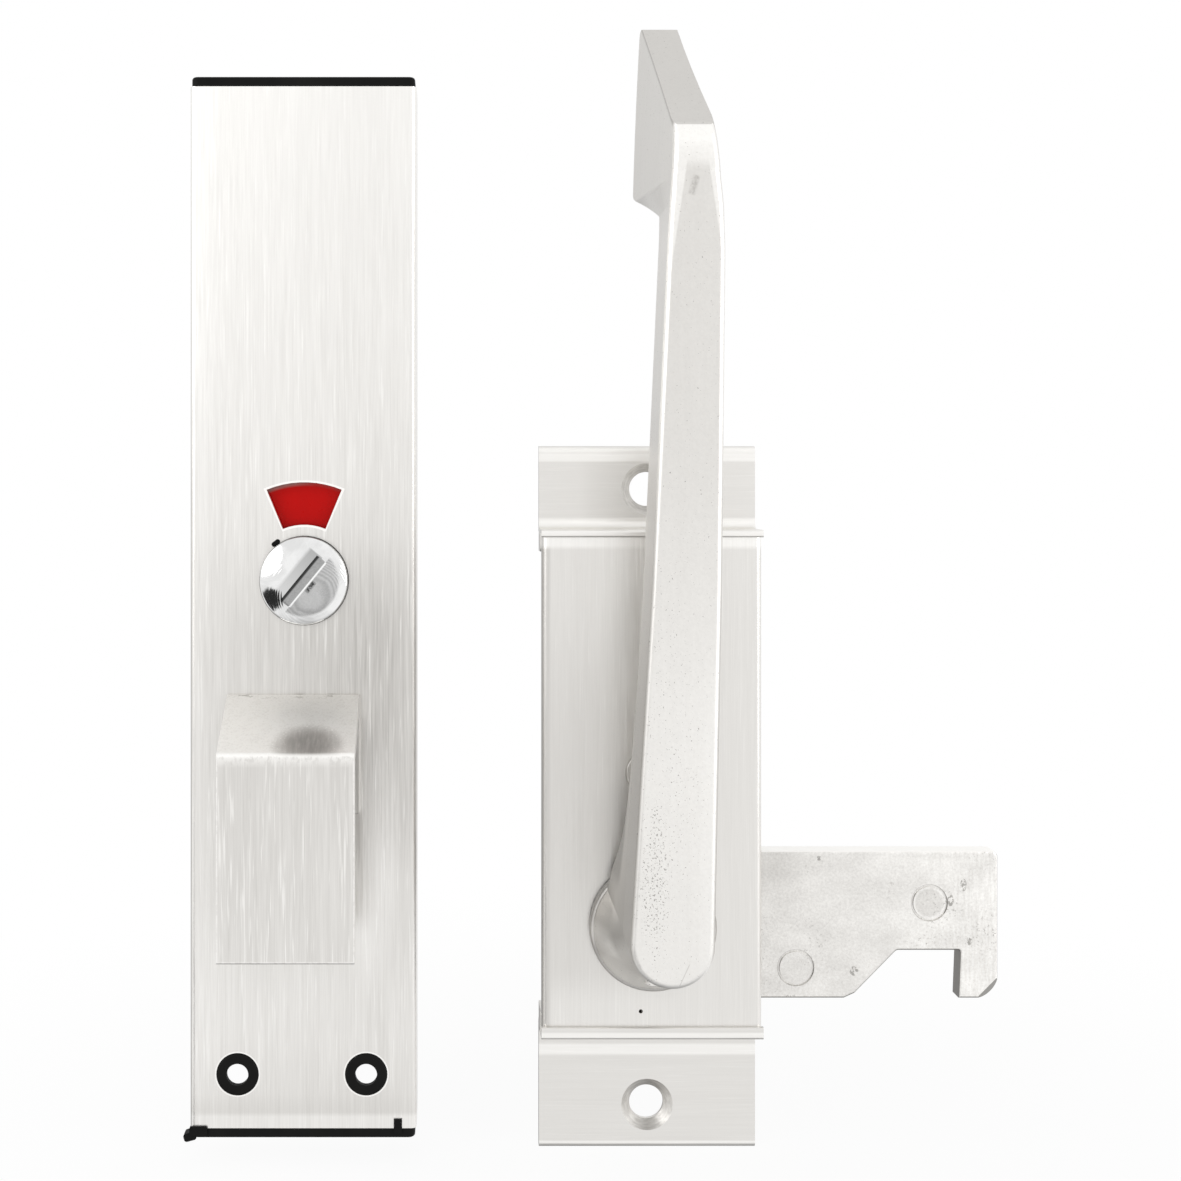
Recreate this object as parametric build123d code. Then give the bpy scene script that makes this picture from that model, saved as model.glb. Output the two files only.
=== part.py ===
from build123d import *
from math import cos, radians, sin, tan
import os

# Toilet indicator bolt: the outside plate with coin turn, window and pull, and the inside lock body
# with its lever and swinging hook bolt, side by side with their backs on one door face.
# Millimetres, X to the right, Z up. The door lies behind Y = 0, so depth in front of it is -Y.
# The origin is midway between the two fixing holes of the lock body.

# Fits and small gaps
running_play = 0.05
turn_play = 0.1
flat_gap = 0.1
stop_gap = 0.2

# Outside plate
plate_x = -76.9
plate_width = 50.0
plate_depth = 12.0
plate_wall = 1.8
plate_edge = 1.2
plate_top = 158.5
plate_length = 230.0
plate_bottom = plate_top - plate_length
plate_inside = plate_depth - plate_wall
plate_half_inside = plate_width / 2 - plate_wall

# End caps of the outside plate
cap_thickness = 2.2
cap_plug_length = 3.4
cap_plug_wall = 1.5
cap_inset = 0.3
tab_x = plate_x + plate_width / 2 - 4.1
tab_width = 1.8
tab_height = 2.1
tab_proud = 0.4
flash_width = 4.0
flash_height = 2.0
flash_proud = 0.5
flash_tail = 2.8
flash_tail_height = 1.8

# Backing plate and fixing bosses of the outside half
backing_base = 2.0
backing_wall = 1.6
rib_pitch = 24.6
plate_fixing_edge = 10.8
plate_fixing_spacing = plate_width - 2 * plate_fixing_edge
plate_fixing_x = plate_x - 0.3
plate_fixing_z = plate_bottom + 11.9
plate_fixing_hole = 2.4
plate_fixing_land = 1.5
plate_fixing_relief = 3.4
fixing_ring_radius = 4.7
fixing_ring_proud = 0.35
fixing_roof = 1.0
fixing_turret_radius = 8.2
fixing_turret_bore = 6.8

# Coin turn, disc and window
turn_x = -76.7
turn_drop = 109.1
turn_z = plate_top - turn_drop
turn_radius = 9.8
turn_shoulder = 13.7
turn_crown = 15.6
turn_flange_radius = 11.2
turn_flange_back = 9.2
turn_flange_thickness = 0.65
turn_shank_radius = 7.0
turn_shank_back = 0.5
turn_flat_width = 12.4
coin_slot_length = 12.7
coin_slot_width = 2.3
coin_slot_floor = 13.4
coin_slot_angle = 50.6
disc_edge_gap = 0.6
disc_radius = plate_half_inside - disc_edge_gap
disc_thickness = 1.0
disc_clearance = 0.4
bearing_radius = 10.5
bearing_front = 7.3
clip_groove_front = 1.9
clip_groove_width = 0.8
clip_groove_depth = 0.6
clip_rim = 1.8
dished_washer_inner = 7.7
dished_washer_outer = 10.0
dished_washer_thickness = 0.3
pip_angle = 127.0
pip_radius = 0.48
pip_length = 2.0
pip_proud = 0.3
window_inner = 12.3
window_margin = 0.9
window_outer = disc_radius - window_margin
window_half_angle = 22.5

# Pull on the outside plate
pull_x = -79.0
pull_width = 29.0
pull_wall = 3.0
pull_reach = 20.0
pull_top = turn_z - 24.2
pull_drop = 11.0
pull_back_height = 26.8
pull_front_height = 44.0
pull_screw_radius = 2.0
pull_screw_head = 3.6
pull_screw_spacing = 16.0
pull_screw_drop = 13.0

# Lock body
cover_width = 48.4
body_half_width = cover_width / 2 + 0.2
body_half_height = 79.2
body_fixing_end = 9.7
body_fixing_spacing = 2 * (body_half_height - body_fixing_end)
body_fixing_hole = 3.85
body_fixing_sink = 5.8
flange_thickness = 3.0
flange_round = 1.1
top_flange = 18.6
bottom_flange = 27.8
top_shoulder = body_half_height - top_flange
bottom_shoulder = body_half_height - bottom_flange
lip_front = 14.0
top_lip = 1.6
bottom_lip = 2.7
lip_root = 0.8
leg_length = 5.0
cover_front = 13.0
cover_wall = 1.8
cover_back = 8.7
cover_edge = 1.2
pit_x = -2.5
pit_z = 6.0 - bottom_shoulder
pit_radius = 0.45

# Steel back plate with its stop lugs and rivets
steel = 1.5
steel_half_width = body_half_width - 4.4
steel_end_gap = 0.7
steel_rivet_x = steel_half_width - 6.0
steel_rivet_radius = 1.25
steel_rivet_head = 2.1
steel_rivet_inset = 3.0
steel_rivet_length = 6.0
lug_reach = 6.4
lug_length = 8.0
closed_lug_x = 10.0
open_lug_height = 42.0

# Hook bolt, measured from its pivot
pivot_x = 0.0
pivot_z = 25.0 - bottom_shoulder
bolt_back = 2.0
bolt_thickness = 5.0
bolt_raised_gap = 4.0
bolt_reach = top_shoulder - leg_length - bolt_raised_gap - pivot_z
bolt_rise = 15.0
bolt_drop = 17.9
bolt_edge = 0.5
hook_tip = 8.3
hook_mouth = 25.0
hook_roof = 7.2
hook_ramp = 9.4
nose_bevel = 4.8
nose_round = 4.0
hub_radius = 9.0
hub_front = 10.0
hub_notch_radius = 1.6
mark_depth = 0.4
mark_radius = 4.1
mark_groove = 0.5
first_mark = (32.8, -11.1)
last_mark = (62.7, 3.4)

# Spindle with its clip and washer
spindle_size = 8.0
spindle_back = -45.0
spindle_front = 29.0
spindle_hole = 6.3
spindle_clip_radius = 8.0
spindle_clip_thickness = 0.9
spindle_clip_bore = 4.6
bolt_washer_radius = 9.5

# Lever handle
lever_front = 49.5
lever_thickness = 16.0
lever_half_space = 40.0
boss_radius = 13.9
boss_back = 13.5
boss_height = 2.4
boss_round = 0.9
boss_slope = 1.5
lever_root_z = pivot_z + 4.9
lever_root_half = 8.5
lever_middle_z = 50.0
lever_middle_left = -4.2
lever_middle_right = 9.9
lever_upper_z = 118.0
lever_upper_left = -1.1
lever_upper_right = 10.6
lever_neck_z = 127.0
lever_neck_left = -0.6
lever_neck_right = 10.3
lever_tip_z = 143.2
lever_roll = 9.0
lever_roll_depth = 2.3
lever_edge = 1.2
return_back = 12.7
return_top = 171.8
return_bottom = 133.5
return_root = 126.3
return_low_z = 132.5
return_low_left = -4.6
return_low_right = 4.9
return_low_front = (0.0, 10.0)
return_high_left = -3.0
return_high_right = 4.9
return_high_front = (2.6, 7.4)
return_corner = 1.5
rib_top = 31.0
rib_foot_margin = 0.6
rib_foot_angle = 40.0
rib_waist_z = pivot_z + 20.4
rib_waist_half = 7.6
rib_head_left = -5.4
rib_head_right = 9.5
spigot_radius = 7.0
spigot_back = 10.3
grub_radius = 2.5
grub_length = 5.5
grub_depth = 21.5

# Lever bush in the cover
bush_radius = 8.5
bush_flange_radius = 12.2
bush_flange_thickness = 0.4

# Friction spring and its rivet
spring_width = 7.0
spring_thickness = 0.5
spring_x = -1.0
spring_rivet_z = pivot_z + 33.5
spring_rivet_head = 4.8
spring_rivet_shank = 1.5
spring_rivet_tail = 2.6
spring_rivet_bevel = 0.35
spring_top = spring_rivet_z + 5.9

door = Plane(origin=(0, 0, 0), x_dir=(1, 0, 0), z_dir=(0, -1, 0))
side = Plane(origin=(0, 0, 0), x_dir=(0, -1, 0), z_dir=(-1, 0, 0))


def raised(outline, low, high):
    """An outline in X and Z, carried from depth low to depth high in front of the door."""
    return extrude(door.offset(low) * outline, amount=high - low, dir=door.z_dir)


def disc(x, z, radius, low, high):
    return raised(Pos(x, z) * Circle(radius), low, high)


def slab(x_low, x_high, low, high, z_low, z_high):
    middle = Pos((x_low + x_high) / 2, (z_low + z_high) / 2)
    return raised(middle * Rectangle(x_high - x_low, z_high - z_low), low, high)


def across(outline, x_low, x_high):
    """An outline in depth and Z, carried from x_low to x_high."""
    return extrude(side.offset(-x_high) * outline, amount=x_high - x_low, dir=side.z_dir)


def upright(outline, z_low, z_high):
    """An outline in X and depth, carried from z_low to z_high."""
    top = Plane(origin=(0, 0, z_high), x_dir=(1, 0, 0), z_dir=(0, 0, -1))
    return extrude(top * outline, amount=z_high - z_low, dir=top.z_dir)


def turned(outline, x, z):
    """An outline in radius and depth, turned about the line square to the door at x and z."""
    start = Plane(origin=(x, 0, z), x_dir=(1, 0, 0), z_dir=(0, 0, -1))
    return revolve(start * outline, axis=Axis((x, 0, z), (0, -1, 0)))


def shape_of(*points):
    return Polygon(*points, align=None)


def round_corner(outline, x, y, radius):
    """Rounds the corner of an outline that is nearest to x and y."""
    return fillet(outline.vertices().sort_by_distance((x, y, 0))[0], radius)


def channel(x, width, back, front, wall, edge, z_low, z_high):
    """A channel open towards the door, with rounded front edges."""
    outer = Pos(x, (front + back) / 2) * Rectangle(width, front - back)
    outer = fillet(outer.vertices().group_by(Axis.Y)[-1], edge)
    inner = Pos(x, (front - wall + back) / 2) * Rectangle(width - 2 * wall, front - wall - back)
    return upright(outer - inner, z_low, z_high)


def sector(inner, outer, middle, half):
    """A piece of a ring about the origin, with its middle at an angle from +X."""
    reach = outer * 1.1
    wedge = shape_of((0, 0), (reach, -reach * tan(radians(half))), (reach, reach * tan(radians(half))))
    return (Circle(outer) - Circle(inner)) & (Rot(0, 0, middle) * wedge)


def pip_outline(play):
    """Short rounded bar that follows the rim of the turn, made larger by play for its notch."""
    bar = SlotOverall(pip_length + 2 * play, 2 * (pip_radius + play))
    return Pos(turn_x, turn_z) * Rot(0, 0, pip_angle) * Pos(pip_distance, 0) * Rot(0, 0, 90) * bar


def outer_plate():
    plate = channel(plate_x, plate_width, 0, plate_depth, plate_wall, plate_edge, plate_bottom, plate_top)
    plate -= disc(turn_x, turn_z, turn_radius + turn_play, plate_inside - 1, plate_depth + 1)
    plate -= raised(pip_outline(running_play), plate_inside - 1, plate_depth + 1)
    window = Pos(turn_x, turn_z) * sector(window_inner, window_outer, 90, window_half_angle)
    plate -= raised(window, plate_inside - 1, plate_depth + 1)
    for x in plate_fixing_places:
        plate -= disc(x, plate_fixing_z, fixing_ring_radius, plate_inside - 1, plate_depth + 1)
    for x in pull_screw_places:
        plate -= disc(x, pull_screw_z, pull_screw_radius + running_play, plate_inside - 1, plate_depth + 1)
    return plate


def end_cap(end, outward):
    """A cap on one end of the channel, with a hollow plug that goes inside it."""
    half = plate_width / 2 - cap_inset
    face = Pos(plate_x, plate_depth / 2) * Rectangle(2 * half, plate_depth)
    face = fillet(face.vertices().group_by(Axis.Y)[-1], plate_edge + cap_inset)
    low, high = sorted((end, end + outward * cap_thickness))
    cap = upright(face, low, high)
    outer_end = cap.faces().sort_by(Axis.Z)[-1 if outward > 0 else 0]
    cap = fillet(outer_end.edges().sort_by(Axis.Y)[:-1], cap_thickness * 0.3)
    plug_half = plate_half_inside - flat_gap
    plug_front = plate_inside - flat_gap
    plug = Pos(plate_x, plug_front / 2 + flat_gap) * Rectangle(2 * plug_half, plug_front - 2 * flat_gap)
    plug -= Pos(plate_x, plug_front / 2) * Rectangle(
        2 * (plug_half - cap_plug_wall), plug_front - 2 * cap_plug_wall)
    low, high = sorted((end, end - outward * cap_plug_length))
    return cap + upright(plug, low, high)


def bottom_end_cap():
    """The lower cap also carries a tab over the plate's face and a lump of moulding flash."""
    cap = end_cap(plate_bottom, -1)
    cap += slab(tab_x - tab_width / 2, tab_x + tab_width / 2, plate_depth - tab_proud,
                plate_depth + tab_proud, plate_bottom - cap_thickness / 2, plate_bottom)
    cap += slab(tab_x - tab_width / 2, tab_x + tab_width / 2, plate_depth,
                plate_depth + tab_proud, plate_bottom - cap_thickness / 2, plate_bottom + tab_height)
    corner_x = plate_x - plate_width / 2 + cap_inset
    lump = Pos(corner_x + flash_width / 2 - 0.4, plate_bottom - 0.5) * RectangleRounded(
        flash_width, flash_height, 0.5)
    cap += raised(lump, plate_depth, plate_depth + flash_proud)
    cap += slab(corner_x - 0.4, corner_x + flash_width / 2, plate_depth - 2, plate_depth + flash_proud / 2,
                plate_bottom - flash_height / 2, plate_bottom)
    tail = Pos(corner_x - 0.4, plate_bottom - cap_thickness + 0.1) * Rot(0, 0, 15) * RectangleRounded(
        flash_tail, flash_tail_height, 0.6)
    cap += raised(tail, plate_depth - 3.4, plate_depth - 0.4)
    return cap


def backing_plate():
    """Moulded tray inside the channel, with two fixing turrets and the bearing of the turn."""
    half = plate_half_inside - flat_gap
    front = plate_inside - flat_gap
    low = plate_bottom + cap_plug_length + flat_gap
    high = plate_top - cap_plug_length - flat_gap
    tray = slab(plate_x - half, plate_x + half, 0, backing_base, low, high)
    for edge in (-1, 1):
        wall_x = sorted((plate_x + edge * half, plate_x + edge * (half - backing_wall)))
        tray += slab(wall_x[0], wall_x[1], 0, front, low, high)
    ribs = (low + backing_wall / 2, plate_fixing_z + rib_pitch, turn_z - 2 * rib_pitch,
            turn_z + 1.6 * rib_pitch, turn_z + 3 * rib_pitch, high - backing_wall / 2)
    for z in ribs:
        tray += slab(plate_x - half, plate_x + half, 0, front, z - backing_wall / 2, z + backing_wall / 2)
    for x in pull_screw_places:
        tray -= disc(x, pull_screw_z, pull_screw_head + 1, backing_base, plate_depth)
    tray -= disc(turn_x, turn_z, disc_radius + disc_clearance, backing_base, plate_depth)
    tray += disc(turn_x, turn_z, bearing_radius, 0, bearing_front)
    tray -= disc(turn_x, turn_z, turn_shank_radius + running_play, -1, bearing_front + 1)
    tray -= disc(turn_x, turn_z, turn_shank_radius + clip_rim + flat_gap, -1, clip_groove_front + flat_gap)
    for x in plate_fixing_places:
        tray += fixing_turret(x, front)
        tray -= disc(x, plate_fixing_z, fixing_turret_bore, -1, front - fixing_roof)
        land_back = plate_depth + fixing_ring_proud - plate_fixing_land
        tray -= disc(x, plate_fixing_z, plate_fixing_relief, -1, land_back)
        tray -= disc(x, plate_fixing_z, plate_fixing_hole, -1, plate_depth + 1)
    return tray


def fixing_turret(x, front):
    """Hollow turret from the door to the plate's face, with a ring that stands in the plate's hole."""
    ring = disc(x, plate_fixing_z, fixing_ring_radius - running_play, front - fixing_roof,
                plate_depth + fixing_ring_proud)
    ring = fillet(ring.edges().sort_by(Axis.Y)[0], 0.5)
    return ring + disc(x, plate_fixing_z, fixing_turret_radius, 0, front)


def pull_handle():
    """Bent strip: a back flange on the plate, a sloping web and a front flange that hangs down."""
    slope = pull_drop / pull_reach
    back = plate_depth
    front = plate_depth + pull_reach
    rise = pull_wall * (1 + slope * slope) ** 0.5
    inner_back = pull_top - slope * pull_wall - rise
    inner_front = pull_top - slope * (pull_reach - pull_wall) - rise
    tip_z = pull_top - pull_drop
    profile = shape_of(
        (back, pull_top), (back, pull_top - pull_back_height), (back + pull_wall, pull_top - pull_back_height),
        (back + pull_wall, inner_back), (front - pull_wall, inner_front), (front - pull_wall, tip_z - pull_front_height),
        (front, tip_z - pull_front_height), (front, tip_z))
    profile = round_corner(profile, front, tip_z, 1.2)
    profile = round_corner(profile, back, pull_top, 1.2)
    profile = round_corner(profile, back + pull_wall, inner_back, 1.0)
    profile = round_corner(profile, front - pull_wall, inner_front, 1.0)
    profile = round_corner(profile, front, tip_z - pull_front_height, 0.4)
    profile = round_corner(profile, back + pull_wall, pull_top - pull_back_height, 0.4)
    pull = across(profile, pull_x - pull_width / 2, pull_x + pull_width / 2)
    for x in pull_screw_places:
        pull -= disc(x, pull_screw_z, pull_screw_radius + running_play, plate_depth - 1,
                     plate_depth + pull_wall - 0.5)
    return pull


def pull_screws():
    screws = []
    for x in pull_screw_places:
        screw = disc(x, pull_screw_z, pull_screw_radius, plate_inside, plate_depth + pull_wall - 0.6)
        head = disc(x, pull_screw_z, pull_screw_head, plate_inside - 2.2, plate_inside)
        head = fillet(head.edges().sort_by(Axis.Y)[-1], 0.8)
        screw += head
        for turn in (0, 90):
            slot = Pos(x, pull_screw_z) * Rot(0, 0, turn) * Rectangle(4, 0.9)
            screw -= raised(slot, plate_inside - 3, plate_inside - 1.2)
        screws.append(screw)
    return Compound(children=screws)


def coin_turn():
    """Domed turn with its flange behind the plate and a shank with a square socket."""
    flange_front = turn_flange_back + turn_flange_thickness
    groove_back = clip_groove_front - clip_groove_width
    lines = Polyline(
        (0, turn_shank_back), (turn_shank_radius, turn_shank_back), (turn_shank_radius, groove_back),
        (turn_shank_radius - clip_groove_depth, groove_back),
        (turn_shank_radius - clip_groove_depth, clip_groove_front), (turn_shank_radius, clip_groove_front),
        (turn_shank_radius, turn_flange_back), (turn_flange_radius, turn_flange_back),
        (turn_flange_radius, flange_front), (turn_radius, flange_front), (turn_radius, turn_shoulder))
    dome = ThreePointArc((turn_radius, turn_shoulder), (turn_radius * 0.55, turn_crown - 0.55), (0, turn_crown))
    profile = make_face(lines + dome + Line((0, turn_crown), (0, turn_shank_back)))
    profile = round_corner(profile, turn_radius, turn_shoulder, 0.7)
    turn = turned(profile, turn_x, turn_z)
    slot = Pos(turn_x, turn_z) * Rot(0, 0, coin_slot_angle) * Rectangle(coin_slot_length, coin_slot_width)
    slot = fillet(slot.vertices(), 0.5)
    turn -= raised(slot, coin_slot_floor, turn_crown + 1)
    for edge in (-1, 1):
        middle = turn_x + edge * (turn_flat_width / 2 + turn_shank_radius)
        turn -= slab(middle - turn_shank_radius, middle + turn_shank_radius,
                     turn_flange_back - disc_thickness - flat_gap, turn_flange_back,
                     turn_z - turn_shank_radius, turn_z + turn_shank_radius)
    half = spindle_size / 2 + flat_gap
    turn -= slab(turn_x - half, turn_x + half, -1, turn_flange_back, turn_z - half, turn_z + half)
    return turn


def indicator_disc():
    """Flat disc with a hole that fits the two flats of the turn's shank."""
    hole = Circle(turn_shank_radius + running_play) & Rectangle(
        turn_flat_width + 2 * running_play, 3 * turn_shank_radius)
    outline = Pos(turn_x, turn_z) * (Circle(disc_radius) - hole)
    return raised(outline, turn_flange_back - disc_thickness, turn_flange_back)


def turn_washer():
    """Thin ring between flange and plate, with a pip in a notch of the plate's hole."""
    ring = Pos(turn_x, turn_z) * (Circle(turn_flange_radius + 0.4) - Circle(turn_radius + turn_play))
    washer = raised(ring, turn_flange_back + turn_flange_thickness + running_play, plate_inside)
    return washer + raised(pip_outline(0), plate_inside - 0.2, plate_depth + pip_proud)


def spring_washer():
    back = bearing_front + running_play
    front = turn_flange_back - disc_thickness - flat_gap
    outline = shape_of(
        (dished_washer_inner, front - dished_washer_thickness), (dished_washer_inner, front),
        (dished_washer_outer, back + dished_washer_thickness), (dished_washer_outer, back))
    return turned(outline, turn_x, turn_z)


def turn_clip():
    """Open clip in the groove at the back of the shank."""
    groove = turn_shank_radius - clip_groove_depth + running_play
    outline = Circle(turn_shank_radius + clip_rim) - Circle(groove)
    outline -= Pos(0, -turn_shank_radius) * Rectangle(groove, 2 * turn_shank_radius)
    low = clip_groove_front - clip_groove_width + running_play
    return raised(Pos(turn_x, turn_z) * outline, low, clip_groove_front - running_play)


def bracket(end, shoulder, lip, upper):
    """End bracket, an extrusion cut to width. Its profile has the screw flange, a shoulder with a lip
    in front of the cover, a seat for the cover and a leg that carries the back plate."""
    lip_back = cover_front + running_play
    seat = cover_back
    leg = shoulder - leg_length
    profile = shape_of(
        (0, end), (flange_thickness, end), (flange_thickness, shoulder), (lip_front, shoulder),
        (lip_front, shoulder - lip), (lip_back, shoulder - lip), (lip_back, shoulder - lip_root),
        (seat, shoulder - lip_root), (seat, leg), (steel, leg), (steel, shoulder - steel_end_gap),
        (0, shoulder - steel_end_gap))
    profile = round_corner(profile, flange_thickness, shoulder, 1.8)
    profile = round_corner(profile, lip_front, shoulder, 0.6)
    profile = round_corner(profile, lip_front, shoulder - lip, 0.4)
    profile = round_corner(profile, seat, leg, 1.2)
    profile = round_corner(profile, flange_thickness, end, flange_round)
    if not upper:
        profile = mirror(profile, about=Plane.XZ)
    piece = across(profile, -body_half_width, body_half_width)
    hole_z = body_fixing_spacing / 2 if upper else -body_fixing_spacing / 2
    piece -= disc(0, hole_z, body_fixing_hole, -1, flange_thickness + 1)
    sink = body_fixing_sink - body_fixing_hole
    cone = shape_of((0, flange_thickness - sink), (body_fixing_hole, flange_thickness - sink),
                    (body_fixing_sink, flange_thickness), (0, flange_thickness))
    piece -= turned(cone, 0, hole_z)
    for x in (-steel_rivet_x, steel_rivet_x):
        rivet_z = (shoulder - steel_rivet_inset) * (1 if upper else -1)
        piece -= disc(x, rivet_z, steel_rivet_radius + running_play, steel - 0.1, steel_rivet_length + flat_gap)
    return piece


def body_cover():
    """Channel cover, held at both ends behind the lips of the brackets."""
    cover = channel(0, cover_width, cover_back, cover_front, cover_wall, cover_edge,
                    -(bottom_shoulder - lip_root - flat_gap), top_shoulder - lip_root - flat_gap)
    cover -= disc(pivot_x, pivot_z, bush_radius + running_play, 0, cover_front + 1)
    cover -= turned(spring_rivet_outline(running_play, 0.01), spring_x, spring_rivet_z)
    cover -= disc(pit_x, pit_z, pit_radius, cover_front - cover_wall - 1, cover_front + 1)
    return cover


def spring_rivet_outline(play, bevel):
    """Countersunk rivet through cover and spring, made larger by play for its hole."""
    inner = cover_front - cover_wall
    shank = spring_rivet_shank + play
    head = spring_rivet_head + play
    return shape_of((0, inner - 1), (shank, inner - 1), (shank, inner + 0.2), (head, cover_front - 0.4),
                    (head, cover_front - bevel), (head - bevel, cover_front), (0, cover_front))


def spring_rivet():
    tail_front = cover_front - cover_wall - flat_gap - spring_thickness - running_play
    tail = disc(spring_x, spring_rivet_z, spring_rivet_tail, tail_front - 0.8, tail_front)
    tail = fillet(tail.edges().sort_by(Axis.Y)[-1], 0.5)
    return turned(spring_rivet_outline(0, spring_rivet_bevel), spring_x, spring_rivet_z) + tail


def friction_spring():
    """Leaf under the cover, bent down to a rounded nose just above the hub of the bolt."""
    front = cover_front - cover_wall - flat_gap
    nose_z = pivot_z + hub_radius + stop_gap
    nose_back = bolt_back + bolt_thickness + 0.6
    knee_z = nose_z + 8.0
    outline = shape_of(
        (front, spring_top), (front, knee_z), (nose_back + 1.5, nose_z), (nose_back + 0.6, nose_z),
        (nose_back, nose_z + 3.6), (nose_back + spring_thickness, nose_z + 3.7),
        (nose_back + 0.9, nose_z + spring_thickness), (nose_back + 1.15, nose_z + spring_thickness),
        (front - spring_thickness, knee_z + 0.1), (front - spring_thickness, spring_top))
    leaf = across(outline, spring_x - spring_width / 2, spring_x + spring_width / 2)
    return leaf - disc(spring_x, spring_rivet_z, spring_rivet_shank + running_play, 0, cover_front)


def back_plate():
    """Steel plate riveted to both brackets. Two lugs bent out of it stop the bolt at its limits."""
    low = -(bottom_shoulder - steel_end_gap - flat_gap)
    high = top_shoulder - steel_end_gap - flat_gap
    plate = slab(-steel_half_width, steel_half_width, 0, steel, low, high)
    plate -= disc(pivot_x, pivot_z, spindle_hole, -1, steel + 1)
    closed_top = pivot_z - bolt_drop - stop_gap
    closed_x = (pivot_x + closed_lug_x, pivot_x + closed_lug_x + lug_length)
    plate -= slab(closed_x[0], closed_x[1], -1, steel + 1, closed_top, closed_top + lug_reach - steel)
    plate += slab(closed_x[0], closed_x[1], 0, lug_reach, closed_top - steel, closed_top)
    open_right = pivot_x - bolt_rise - stop_gap
    open_z = (pivot_z + open_lug_height, pivot_z + open_lug_height + lug_length)
    plate -= slab(open_right, open_right + lug_reach - steel, -1, steel + 1, open_z[0], open_z[1])
    plate += slab(open_right - steel, open_right, 0, lug_reach, open_z[0], open_z[1])
    for x, z in steel_rivet_places:
        plate -= disc(x, z, steel_rivet_radius + running_play, -1, steel + 1)
        plate -= turned(rivet_head_outline(running_play), x, z)
    return plate


def rivet_head_outline(play):
    head = steel_rivet_head + play
    shank = steel_rivet_radius + play
    return shape_of((0, 0), (head, 0), (shank, head - shank), (0, head - shank))


def back_plate_rivets():
    rivets = []
    for x, z in steel_rivet_places:
        shank = disc(x, z, steel_rivet_radius, 0, steel_rivet_length)
        rivets.append(shank + turned(rivet_head_outline(0), x, z))
    return Compound(children=rivets)


def bolt_outline():
    """Bar with a round end at the pivot and a hook open downwards near its nose."""
    end = pivot_x + bolt_reach
    top = pivot_z + bolt_rise
    bottom = pivot_z - bolt_drop
    roof = pivot_z - hook_roof
    throat = end - hook_tip
    mouth = end - hook_mouth
    bar = shape_of(
        (pivot_x, top), (end, top), (end, bottom),
        (throat - 0.4, bottom), (throat, roof), (mouth + 2.4, roof), (mouth - hook_ramp + 2.4, bottom + 1.1),
        (mouth - hook_ramp, bottom), (pivot_x, bottom))
    bar = round_corner(bar, end, top, 1.4)
    bar = round_corner(bar, throat, roof, 0.6)
    bar = round_corner(bar, mouth + 2.4, roof, 1.2)
    bar = round_corner(bar, end, bottom, nose_round)
    half_height = (bolt_rise + bolt_drop) / 2
    return bar + Pos(pivot_x, top - half_height) * Circle(half_height)


def hook_bolt():
    front = bolt_back + bolt_thickness
    bolt = raised(bolt_outline(), bolt_back, front)
    bolt = fillet(bolt.faces().sort_by(Axis.Y)[0].edges(), bolt_edge)
    hub = Pos(pivot_x, pivot_z) * Circle(hub_radius)
    for angle in (0, 90):
        notch_x = hub_radius + hub_notch_radius * 0.6
        hub -= Pos(pivot_x, pivot_z) * Rot(0, 0, angle) * Pos(notch_x, 0) * Circle(hub_notch_radius)
    bolt += raised(hub, front - 1, hub_front)
    half = spindle_size / 2 + running_play
    bolt -= slab(pivot_x - half, pivot_x + half, 0, hub_front + 1, pivot_z - half, pivot_z + half)
    for x, z in (first_mark, last_mark):
        groove = Circle(mark_radius) - Circle(mark_radius - mark_groove)
        bolt -= raised(Pos(pivot_x + x, pivot_z + z) * groove, front - mark_depth, front + 1)
    return bolt - nose_cut(front)


def nose_cut(front):
    """What the slanting facet takes off the lower corner of the nose."""
    end = pivot_x + bolt_reach
    bottom = pivot_z - bolt_drop
    facet = Plane(origin=(end - nose_bevel / 2, -front, bottom + nose_bevel / 2), x_dir=(1, 0, -1),
                  z_dir=(1, 0, 1))
    wedge = shape_of((0, -1), (0, 0), (nose_bevel, nose_bevel), (nose_bevel, -1))
    return extrude(facet * wedge, amount=2 * nose_bevel, both=True)


def spindle():
    half = spindle_size / 2
    bar = slab(pivot_x - half, pivot_x + half, spindle_back, spindle_front, pivot_z - half, pivot_z + half)
    ends = bar.faces().sort_by(Axis.Y)
    bar = chamfer(ends[0].edges() + ends[-1].edges(), 0.6)
    ring = Pos(pivot_x, pivot_z) * (Circle(spindle_size) - Circle(spindle_clip_bore - running_play))
    return bar - raised(ring, clip_back - running_play, clip_back + spindle_clip_thickness + running_play)


def spindle_clip():
    outline = Circle(spindle_clip_radius) - Circle(spindle_clip_bore)
    outline -= Pos(0, -spindle_clip_radius) * Rectangle(spindle_clip_bore, 2 * spindle_clip_radius)
    return raised(Pos(pivot_x, pivot_z) * outline, clip_back, clip_back + spindle_clip_thickness)


def bolt_washer():
    outline = Circle(bolt_washer_radius) - Circle(spindle_hole)
    return raised(Pos(pivot_x, pivot_z) * outline, steel, bolt_back - flat_gap)


def lever_bush():
    inner = cover_front - cover_wall
    outline = shape_of(
        (spigot_radius + running_play, inner), (bush_radius, inner), (bush_radius, cover_front),
        (bush_flange_radius, cover_front), (bush_flange_radius, cover_front + bush_flange_thickness),
        (spigot_radius + running_play, cover_front + bush_flange_thickness))
    return turned(outline, pivot_x, pivot_z)


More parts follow.
